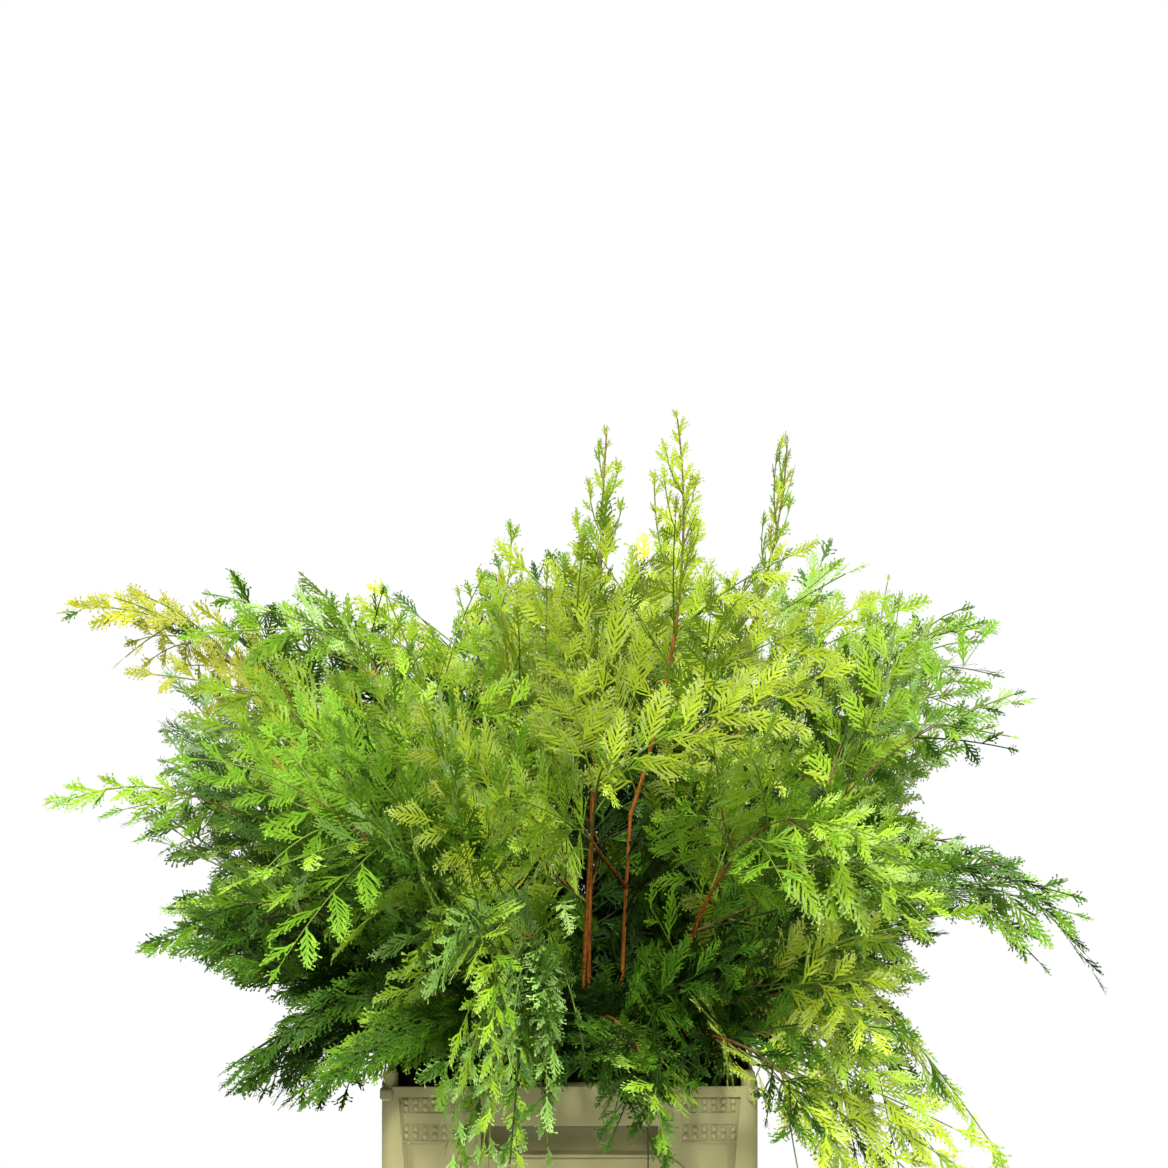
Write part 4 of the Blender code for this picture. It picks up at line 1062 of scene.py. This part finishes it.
def grow_bough(name, seed):
    """A leafy bough, from its limb to its tip."""
    rng = random.Random(seed)
    bough = Bough(name, rng)
    whole = bough_axis(name, FINE)
    outside = np.flatnonzero(~inside_edge(whole))
    if len(outside):
        whole = part_of(whole, (outside[0] - 0.5) / (FINE - 1), FINE)
    size = path_length(whole)
    start = bough_start(name)[1]
    flat = unit(np.cross(np.cross(start, UP), start))
    flat = turned(flat, start, rng.choice((-1, 1)) * rng.uniform(*MASS_ROLL))
    open_end, spire, ribbon = name in OPEN_BOUGHS, name in SPIRES, name in RIBBON_BOUGHS
    if spire:
        stem_end = 1 - SPIRE_TIP / size
        grow_spire_top(bough, whole, flat)
    else:
        stem_end = grow_tip(bough, whole, flat)
    bough.stem = stem = part_of(whole, stem_end, STEM_STEPS)
    radii, half = np.linspace(TWIG_RADIUS, TWIG_TIP_RADIUS, STEM_STEPS), STEM_STEPS // 2
    bough.brown.append((stem[:half], radii[:half]))
    bough.green.append((stem[half - 1:], radii[half - 1:]))
    count = max(LEAST_SPRAYS, round(stem_end * size / (RIBBON_STATION if ribbon else SPRAY_STATION)))
    side = rng.choice((-1, 1))
    for i in range(count):
        share = stem_end * (i + FIRST_SPRAY) / count
        root = along_path(whole, share)
        along = heading(whole, share)
        normal = turned(square_to(flat, along), along, rng.uniform(-ROLL, ROLL) * ROLL_WIDER)
        side = -side
        sag = rng.uniform(*SPRAY_SAG) * (SAG_FROM + share)
        if ribbon:
            sag += RIBBON_SAG * (1 + RIBBON_SAG_MORE * share)
        elif name in HANGING:
            sag += HANGING_SAG * share
        reach = (1 - SPRAY_SHORTER * share) * rng.uniform(*SPRAY_CHANCE)
        lean = (RIBBON_LEAN if ribbon else SPRAY_LEAN) + rng.uniform(*LEAN_CHANCE)
        if spire and share > SPIRE_FROM + SPIRE_SPRAYS_PAST:
            continue
        if open_end and share > OPEN_FROM:
            reach *= OPEN_SHORTER
        if root[2] > SPARSE_ABOVE and rng.random() < SPARSE:
            continue
        at_open_end = open_end and share > OPEN_END
        if i % TWIG_EVERY == 1 and not at_open_end:
            grow_side_twig(bough, root, along, normal, side, reach, share, sag)
        elif at_open_end and i % 2:
            continue
        leave = turned(along, normal, side * lean) - normal * SPRAY_TILT * rng.uniform(*TILT_CHANCE)
        bough.add_spray(root, leave, normal, SPRAY_LENGTH * reach, share, sag)
        if i % THIRD_EVERY == 2 and not open_end:
            leave, facing = along - side * normal * rng.uniform(*THIRD_OUT), np.cross(along, normal)
            bough.add_spray(root, leave, facing, THIRD_SPRAY * reach, share, sag)
    return bough


# Short sprays low on the branches, in dark tints as painted shade, close the crown down to the rim, as do
# skirts of the lowest boughs.
LIMB_SPRAYS_FROM, LIMB_SPRAYS_STEP, LIMB_SPREAD, LIMB_RISE = 0.50, 0.024, 75, (-0.1, 0.8)
NEAR_RIM, RIM_STEEPER, LIMB_FORWARD, LIMB_ROLL = 0.05, 14, 0.3, 80
LIMB_SPRAY, LIMB_SAG = (0.11, 0.18), (0.01, 0.04)
SKIRT_RISE, SKIRT_ROLL, SKIRT_CHANCE, SKIRT_SAG = (-0.42, 0.12), 60, (0.65, 1), (0.0, 0.02)


def grow_limb_sprays(bough):
    """Short sprays low on the same branch, in dark tints as painted shade, steeper where they are near the
    rim.
    """
    rng = bough.rng
    for share in np.arange(LIMB_SPRAYS_FROM, 1.0, LIMB_SPRAYS_STEP):
        root, along = limb_at(bough.name, share)
        azimuth = math.degrees(math.atan2(root[1], root[0])) + rng.uniform(-LIMB_SPREAD, LIMB_SPREAD)
        rise = rng.uniform(*LIMB_RISE) + max(0, HEIGHT + NEAR_RIM - root[2]) * RIM_STEEPER
        away = polar(azimuth, 1, rise)
        normal = turned(UP, unit(away), rng.uniform(-LIMB_ROLL, LIMB_ROLL))
        bough.add_spray(root, away + along * LIMB_FORWARD, normal, rng.uniform(*LIMB_SPRAY), 0,
                        rng.uniform(*LIMB_SAG), painted_shade=True)


def grow_skirt(bough, count, low, high, length):
    """Sprays in dark tints, as painted shade, that spread sideways and a little down from a low bough, as far
    as the rim.
    """
    rng = bough.rng
    for share in np.linspace(0.0, 1.0, count):
        away = polar(rng.uniform(low, high), 1, rng.uniform(*SKIRT_RISE))
        normal = turned(UP, unit(away), rng.uniform(-SKIRT_ROLL, SKIRT_ROLL))
        bough.add_spray(along_path(bough.stem, share), away, normal, length * rng.uniform(*SKIRT_CHANCE), 0,
                        rng.uniform(*SKIRT_SAG), painted_shade=True)


# name: (sprays, lowest and highest azimuth, length)
SKIRTS = {"left_skirt": (28, 182, 262, 0.17), "front_skirt": (16, 225, 320, 0.115),
          "right_skirt": (7, 235, 300, 0.12)}
# Branches whose bare wood carries twice as many short sprays.
FULL_LIMBS = ("spire_mid", "back_mid", "left_low")
boughs = {}
for index, name in enumerate((*BRANCHES, *SIDE_SHOOTS)):
    boughs[name] = grow_bough(name, SEED + index)
    if name in BRANCHES:
        for _ in range(2 if name in FULL_LIMBS else 1):
            grow_limb_sprays(boughs[name])
    if name in SKIRTS:
        grow_skirt(boughs[name], *SKIRTS[name])

# name: (bark, furrow, relief)
TWIG_BARKS = {
    "brown_twig_bark": ((0.20, 0.12, 0.03, 1), (0.10, 0.05, 0.02, 1), 0.0003),
    "green_rib_bark": ((0.150, 0.235, 0.020, 1), (0.08, 0.13, 0.012, 1), 0.0002),
    # Near-black ribs for sprays in the dark tints: painted shade, like their leaves.
    "shaded_rib_bark": ((0.016, 0.040, 0.003, 1), (0.010, 0.024, 0.002, 1), 0.0002),
}
brown_bark, green_bark, shaded_bark = [bark_material(name, *finish) for name, finish in TWIG_BARKS.items()]

# name: (which of a bough's paths, bark, sides of each tube)
TWIGS = {
    "reddish_twigs": ("brown", red_bark, 7), "brown_twigs": ("green", brown_bark, 6),
    "spray_ribs": ("ribs", green_bark, 4), "shaded_ribs": ("dark_ribs", shaded_bark, 4),
}
for label, (kind, material, sides) in TWIGS.items():
    paths = [path for bough in boughs.values() for path in getattr(bough, kind)]
    twigs = tubes(label, paths, {"Sides": sides, "Ring spacing": 0.012, "Relief": 0.0002,
                                 "Relief per metre": 300.0, "Material": material})
    finish_piece(twigs, None)

# Feathers: the flat side branches of a spray. Each has a rib with slim branchlets that point forward, close
# together like a comb, longer on one side, and each branchlet has a few blunt knobs. Scale leaves cover all.
BRANCHLET_PITCH, BRANCHLET_ANGLE, BRANCHLET_FORWARD, BRANCHLET_SHARE = 0.0056, 40, 12, 0.44
BRANCHLET_FIRST, BRANCHLET_SPAN, BRANCHLET_MOVED, BRANCHLET_TURNED = 0.03, 0.92, 0.15, 5
BRANCHLET_CHANCE, BRANCHLET_RISE, SHORTEST_BRANCHLET, LONG_BRANCHLET = (0.78, 1.12), 0.14, 0.0035, 0.011
BRANCHLET_SWELL_FROM, BRANCHLET_SWELL, BRANCHLET_TAPER_TO, BRANCHLET_TAPER = 0.55, 1.9, 1.03, 0.75
LONG_CUTS, SHORT_CUTS, ABOVE_RIB = (0.45, 0.92, 1), (0.82, 1), 0.0003
SHORT_SIDE, LEAF_WIDTH, SCALE_PITCH, WIDTH_CHANCE = 0.78, 0.0020, 0.0022, (0.85, 1.05)
STRIP_FOOT_WIDTH, STRIP_WIDENS = 0.85, 0.35
RIB_STEPS, SHORT_RIB_STEPS, LONG_RIB = 5, 4, 0.04
RIB_CURVE, RIB_LOOK, RIB_YOUNG_FROM = (0.02, 0.10), 0.05, 0.75
KNOB_LENGTH, KNOB_WIDTH, KNOB_ANGLE, KNOB_PITCH, KNOB_CHANCE = 0.0034, 0.0017, 40, 0.0055, (0.7, 1.5)
KNOB_FIRST, KNOB_SPAN, KNOB_MOVED, KNOB_LOOK = 0.48, 0.47, 0.6, (0.3, 0.7)
YOUNG_FROM, YOUNGER_OUTWARDS, YOUNG_CHANCE, KNOB_YOUNG_CHANCE = 0.66, 0.55, (-0.1, 0.3), 0.2
KNOB_SCALES, SHAPE_SEED = 2.0, 100


def run_at(way, rise):
    """A unit step along +X turned by an angle, with its rise."""
    return np.array([math.cos(way), math.sin(way), rise])


class Fan:
    """Collects the narrow strips and knobs that make up a feather."""

    def __init__(self):
        self.verts, self.faces, self.uvs, self.young = [], [], [], []

    def face(self, young, *corners):
        self.faces.append(corners[::-1])
        self.young.append(int(young))

    def strip(self, path, width, young_from):
        """A flat strip along a path with a blunt point; its faces past a share of its length are young."""
        first, run, quads = len(self.verts), 0.0, len(path) - 2
        for i, place in enumerate(path[:-1]):
            along = path[i + 1] - path[i]
            half = width / 2 * (STRIP_FOOT_WIDTH + STRIP_WIDENS * i / quads)
            across = unit(np.array([-along[1], along[0], 0.0])) * half
            self.verts += [place - across, place + across]
            self.uvs += [(0.0, run), (1.0, run)]
            run += np.linalg.norm(along) / SCALE_PITCH
        self.verts.append(path[-1])
        self.uvs.append((0.5, run))
        for i in range(quads):
            a = first + 2 * i
            self.face((i + 0.5) / (quads + 0.5) > young_from, a, a + 1, a + 3, a + 2)
        a = first + 2 * quads
        self.face(young_from < 1, a, a + 1, a + 2)

    def knob(self, foot, tip, young):
        """A blunt little side branchlet: a wedge that is widest at its end."""
        first, run = len(self.verts), tip - foot
        across = unit(np.array([-run[1], run[0], 0.0])) * KNOB_WIDTH / 2
        self.verts += [foot, tip - across, tip + across]
        self.uvs += [(0.5, 0.0), (0.0, KNOB_SCALES), (1.0, KNOB_SCALES)]
        self.face(young, first, first + 2, first + 1)


def add_knobs(fan, rng, path, reach, cuts, rise, share, order):
    """Knobs left and right of a branchlet's outer half."""
    count = int(reach / KNOB_PITCH) + 1
    for j in range(count):
        at = KNOB_FIRST + KNOB_SPAN * (j + rng.uniform(0, KNOB_MOVED)) / count
        foot = along_path(path, at * cuts[-2] if len(cuts) > 2 else at)
        ahead = unit(along_path(path, KNOB_LOOK[1]) - along_path(path, KNOB_LOOK[0]))
        way = math.atan2(ahead[1], ahead[0]) + math.radians(KNOB_ANGLE) * (1 if (order + j) % 2 else -1)
        tip = foot + KNOB_LENGTH * rng.uniform(*KNOB_CHANCE) * run_at(way, rise)
        fan.knob(foot, tip, (share + at) / 2 + KNOB_YOUNG_CHANCE * rng.random() > YOUNG_FROM)


def feather_shape(name, length, long_side, rng):
    """One feather, root at the origin, rib along +X, spread along Y, upper face towards +Z."""
    fan = Fan()
    steps = RIB_STEPS if length > LONG_RIB else SHORT_RIB_STEPS
    curve = rng.uniform(*RIB_CURVE) * -long_side
    rib = np.array([(length * s, curve * length * s * s, 0.0) for s in np.linspace(0, 1, steps + 1)])
    fan.strip(rib, LEAF_WIDTH, RIB_YOUNG_FROM)
    count = round(length * BRANCHLET_SPAN / BRANCHLET_PITCH * 2)
    for i in range(1, count):
        moved = i + rng.uniform(-BRANCHLET_MOVED, BRANCHLET_MOVED)
        share = BRANCHLET_FIRST + BRANCHLET_SPAN * moved / count
        side = 1 if i % 2 else -1
        swell = min(1.0, BRANCHLET_SWELL_FROM + BRANCHLET_SWELL * share)
        swell *= (BRANCHLET_TAPER_TO - share) ** BRANCHLET_TAPER
        reach = BRANCHLET_SHARE * length * swell * rng.uniform(*BRANCHLET_CHANCE)
        reach *= 1 if side == long_side else SHORT_SIDE
        if reach < SHORTEST_BRANCHLET:
            continue
        ahead = heading(rib, share, RIB_LOOK, RIB_LOOK)
        angle = BRANCHLET_ANGLE + rng.uniform(-BRANCHLET_TURNED, BRANCHLET_TURNED)
        way = math.atan2(ahead[1], ahead[0]) + math.radians(angle) * side
        rise = rng.uniform(-BRANCHLET_RISE, BRANCHLET_RISE)
        cuts = LONG_CUTS if reach > LONG_BRANCHLET else SHORT_CUTS
        path = [along_path(rib, share) + (0, 0, ABOVE_RIB)]
        for cut, last in zip(cuts, (0, *cuts)):
            bent = way - math.radians(BRANCHLET_FORWARD) * side * (cut + last)
            path.append(path[-1] + reach * (cut - last) * run_at(bent, rise))
        path = np.array(path)
        width = LEAF_WIDTH * rng.uniform(*WIDTH_CHANCE)
        fan.strip(path, width, YOUNG_FROM - YOUNGER_OUTWARDS * share + rng.uniform(*YOUNG_CHANCE))
        add_knobs(fan, rng, path, reach, cuts, rise, share, i // 2)
    mesh = bpy.data.meshes.new(name)
    mesh.from_pydata([tuple(v) for v in fan.verts], [], fan.faces)
    layer = mesh.uv_layers.new(name="scales")
    loops = np.empty(len(mesh.loops), int)
    mesh.loops.foreach_get("vertex_index", loops)
    layer.data.foreach_set("uv", np.array(fan.uvs)[loops].ravel())
    run = mesh.attributes.new("feather_share", "FLOAT", "POINT")
    run.data.foreach_set("value", np.array(fan.verts)[:, 0] / length)
    young = mesh.attributes.new("young", "INT", "FACE")
    young.data.foreach_set("value", np.array(fan.young))
    return bpy.data.objects.new(name, mesh)


shapes = bpy.data.collections.new("feather_shapes")
bpy.context.scene.collection.children.link(shapes)
for group, length in enumerate(FEATHER_LENGTHS):
    for variant in range(FEATHER_KINDS * 2):
        kind = group * FEATHER_KINDS * 2 + variant
        long_side = 1 if variant % 2 else -1
        shape = feather_shape(f"feather_{kind:02d}", length, long_side, random.Random(SHAPE_SEED + kind))
        shapes.objects.link(shape)

# Scale leaves: each strip is rounded across, and marked lengthwise by the overlapping scales' edges.
leaves, given, out = new_group(
    "scale leaves", "ShaderNodeTree",
    [("Leaf", "Color", (0.1, 0.3, 0.03, 1)), ("Scale edge", "Color", (0.3, 0.4, 0.1, 1)),
     ("Edge share", "Float", 0.35)], PATTERN)
scales = add_node(leaves, "ShaderNodeUVMap", uv_map="scales").outputs[0]
across, lengthwise = add_node(leaves, "ShaderNodeSeparateXYZ", {0: scales}).outputs[:2]
from_rib = maths(leaves, "ABSOLUTE", maths(leaves, "SUBTRACT", across, 0.5))
saw = maths(leaves, "FRACT", maths(leaves, "ADD", lengthwise, from_rib))
edge = maths(leaves, "MULTIPLY", remap(leaves, saw, 0.0, 1.0, 0.70, 0.95), given["Edge share"])
place = add_node(leaves, "ShaderNodeTexCoord").outputs["Object"]
tone = remap(leaves, noise(leaves, place, 30.0, 2.0), 0.80, 1.22, 0.3, 0.7)
flank = maths(leaves, "POWER", from_rib, 2.0)
give(leaves, out, Colour=blend(leaves, edge, toned(leaves, given["Leaf"], tone), given["Scale edge"]),
     Roughness=remap(leaves, saw, 0.42, 0.60), Height=maths(leaves, "MULTIPLY_ADD", flank, -3.0, saw))

# name: (leaf, pale young tip, bloom on the underside), as plain base colours
# The "shade" colours, and "deep" where it darkens the core and the low boughs, are painted shade.
LEAF_COLOURS = {
    "shade": ((0.010, 0.032, 0.001), (0.022, 0.060, 0.003), (0.016, 0.040, 0.005)),
    "deep": ((0.034, 0.096, 0.003), (0.066, 0.155, 0.006), (0.046, 0.106, 0.014)),
    "forest": ((0.106, 0.234, 0.007), (0.150, 0.286, 0.018), (0.122, 0.230, 0.038)),
    "fresh": ((0.220, 0.376, 0.015), (0.262, 0.392, 0.070), (0.228, 0.360, 0.085)),
    "lime": ((0.332, 0.438, 0.022), (0.366, 0.448, 0.088), (0.316, 0.414, 0.085)),
    "gold": ((0.290, 0.310, 0.008), (0.365, 0.375, 0.024), (0.300, 0.320, 0.030)),
    "blue": ((0.170, 0.325, 0.052), (0.260, 0.410, 0.110), (0.255, 0.390, 0.160)),
}
EDGE_TIMES, EDGE_PLUS = 1.5, 0.05


def leaf_material(name, leaf, bloom):
    """Dull leaves with paler edges on their scales, and bloom on their undersides."""
    material, tree, shader = new_material(name, {"IOR": 1.4, "Specular IOR Level": 0.12, "Metallic": 0})
    edge = tuple(min(1, EDGE_TIMES * channel + EDGE_PLUS) for channel in leaf)
    pattern = use_group(tree, leaves, {"Leaf": (*leaf, 1), "Scale edge": (*edge, 1), "Edge share": 0.30})
    back = add_node(tree, "ShaderNodeNewGeometry").outputs["Backfacing"]
    bloomed = blend(tree, back, pattern["Colour"], (*bloom, 1))
    coat(tree, shader, pattern, bloomed, strength=0.6, relief=0.0004)
    return material


leaf_materials = {}
for tint in TINTS:
    leaf, tip, bloom = LEAF_COLOURS[tint]
    leaf_materials[f"{tint} leaves"] = leaf_material(f"{tint}_leaves", leaf, bloom)
    leaf_materials[f"{tint} tips"] = leaf_material(f"{tint}_tips", tip, bloom)

feather_layer, given, out = new_group(
    "feather layer", "GeometryNodeTree",
    [("Geometry", "Geometry", None), ("Shapes", "Collection", None),
     *((label, "Material", None) for label in leaf_materials)], [("Geometry", "Geometry")])
kinds = add_node(feather_layer, "GeometryNodeCollectionInfo", {
    "Collection": given["Shapes"], "Separate Children": True, "Reset Children": True})
placed = add_node(feather_layer, "GeometryNodeInstanceOnPoints", {
    "Points": given["Geometry"], "Instance": kinds.outputs[0], "Pick Instance": True,
    "Instance Index": named(feather_layer, "kind", "INT"),
    "Rotation": named(feather_layer, "turn", "FLOAT_VECTOR"), "Scale": named(feather_layer, "size")})
real = add_node(feather_layer, "GeometryNodeRealizeInstances", {0: placed.outputs[0]}).outputs[0]
share = maths(feather_layer, "POWER", named(feather_layer, "feather_share"), 2.0)
drop = maths(feather_layer, "MULTIPLY", share, named(feather_layer, "sag"))
drop = maths(feather_layer, "MULTIPLY", drop, -1.0)
offset = add_node(feather_layer, "ShaderNodeCombineXYZ", {2: drop}).outputs[0]
leafy = add_node(feather_layer, "GeometryNodeSetPosition", {"Geometry": real, "Offset": offset}).outputs[0]
tint_index, young_index = named(feather_layer, "tint", "INT"), named(feather_layer, "young", "INT")
code = maths(feather_layer, "MULTIPLY_ADD", tint_index, 2.0, young_index)
for i, label in enumerate(leaf_materials):
    chosen = maths(feather_layer, "COMPARE", code, float(i), 0.1)
    leafy = add_node(feather_layer, "GeometryNodeSetMaterial", {
        "Geometry": leafy, "Selection": chosen, "Material": given[label]}).outputs[0]
give(feather_layer, out, Geometry=leafy)

CLUMPS = {
    "sprays_top": ("spire_mid", "spire_front", "spire_right", "spire_left", "heart_back"),
    "sprays_left": ("gold_left", "gold_left_lower", "left_sprig", "left_fan", "left_low", "left_skirt"),
    "sprays_front_left": ("front_left", "front_left_upper", "front_weep", "weep_left", "crown_left",
                          "heart_left"),
    "sprays_front_right": ("front_mid", "front_skirt", "front_right", "right_low", "right_skirt",
                           "heart_front"),
    "sprays_right": ("right_weep", "right_droop", "right_tip", "right_mid"),
    "sprays_back_right": ("right_crown", "right_upper", "back_right", "back_right_skirt", "back_mid"),
    "sprays_back_left": ("back_weep", "back_left", "back_left_low", "back_crown"),
}
POINT_VALUES = ("turn", "size", "kind", "tint", "sag", "young", "feather_share")
for label, names in CLUMPS.items():
    feathers = [feather for name in names for feather in boughs[name].feathers]
    roots, turns, sizes, kind, tint, sag = zip(*feathers)
    layer = point_cloud(label, roots, turn=turns, size=sizes, kind=kind, tint=tint, sag=sag)
    layer = grown(layer, feather_layer, {"Shapes": shapes, **leaf_materials})
    for used in [each.name for each in layer.data.attributes if each.name in POINT_VALUES]:
        layer.data.attributes.remove(layer.data.attributes[used])
    finish_piece(layer, None, [f"foliage_{name}" for name in names])
for shape in list(shapes.objects):
    bpy.data.objects.remove(shape, do_unlink=True)
bpy.data.collections.remove(shapes)

# Studio: a round pale floor that fades into a white surround, soft lamps, and a level camera in front.
FLOOR_RADIUS, FLOOR_SIDES, FADE_FROM = 0.95, 96, 0.45
floor = bmesh.new()
bmesh.ops.create_circle(floor, cap_ends=True, segments=FLOOR_SIDES, radius=FLOOR_RADIUS)
floor = as_object("studio_floor", floor)
paper, tree, shader = new_material("pale_paper_floor", {"Roughness": 0.9, "Specular IOR Level": 0.1})
place = add_node(tree, "ShaderNodeTexCoord").outputs["Object"]
far = add_node(tree, "ShaderNodeVectorMath", {0: place}, operation="LENGTH").outputs["Value"]
fade = add_node(tree, "ShaderNodeMapRange", {
    "Value": far, "From Min": FADE_FROM, "From Max": FLOOR_RADIUS, "To Min": 1.0, "To Max": 0.0},
    interpolation_type="SMOOTHSTEP").outputs[0]
tree.links.new(fade, shader.inputs["Alpha"])
shader.inputs["Base Color"].default_value = (0.9, 0.9, 0.9, 1)
floor.data.materials.append(paper)
floor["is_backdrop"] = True

world = bpy.data.worlds.new("studio")
bpy.context.scene.world = world
world.use_nodes = True
tree = world.node_tree
surround = tree.nodes["Background"]
surround.inputs["Color"].default_value = (0.95, 0.98, 1, 1)
surround.inputs["Strength"].default_value = 0.12
white = add_node(tree, "ShaderNodeBackground", {"Color": (1, 1, 1, 1), "Strength": 1.0}).outputs[0]
seen = add_node(tree, "ShaderNodeLightPath").outputs["Is Camera Ray"]
both = add_node(tree, "ShaderNodeMixShader", {0: seen, 1: surround.outputs[0], 2: white}).outputs[0]
tree.links.new(both, tree.nodes["World Output"].inputs["Surface"])

# name: (place, size, power)
LAMPS = {"key": ((0.05, -2.3, 2.5), 0.5, 131), "fill": ((1.9, -2.3, 1.2), 1.2, 36),
         "side": ((-2.2, -1.2, 1.1), 1.2, 44), "top": ((0.3, -0.2, 2.9), 0.9, 74),
         "back": ((0.5, 2.6, 1.9), 1.4, 50)}
LIT_POINT = Vector((0, 0, 0.5))
for label, (place, size, power) in LAMPS.items():
    lamp = bpy.data.lights.new(label, "AREA")
    lamp.size, lamp.energy = size, power
    thing = bpy.data.objects.new(label, lamp)
    thing.location = place
    thing.rotation_euler = (LIT_POINT - Vector(place)).to_track_quat("-Z", "Y").to_euler()
    bpy.context.scene.collection.objects.link(thing)

camera = bpy.data.cameras.new("camera")
camera.lens, camera.sensor_width = 80.7, 36
view = bpy.data.objects.new("camera", camera)
view.location = (CAMERA_X, CAMERA_Y, CAMERA_Z)
view.rotation_euler = (math.radians(90), 0, 0)
bpy.context.scene.collection.objects.link(view)
bpy.context.scene.camera = view
bpy.context.scene.view_settings.view_transform = "Standard"

low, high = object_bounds()
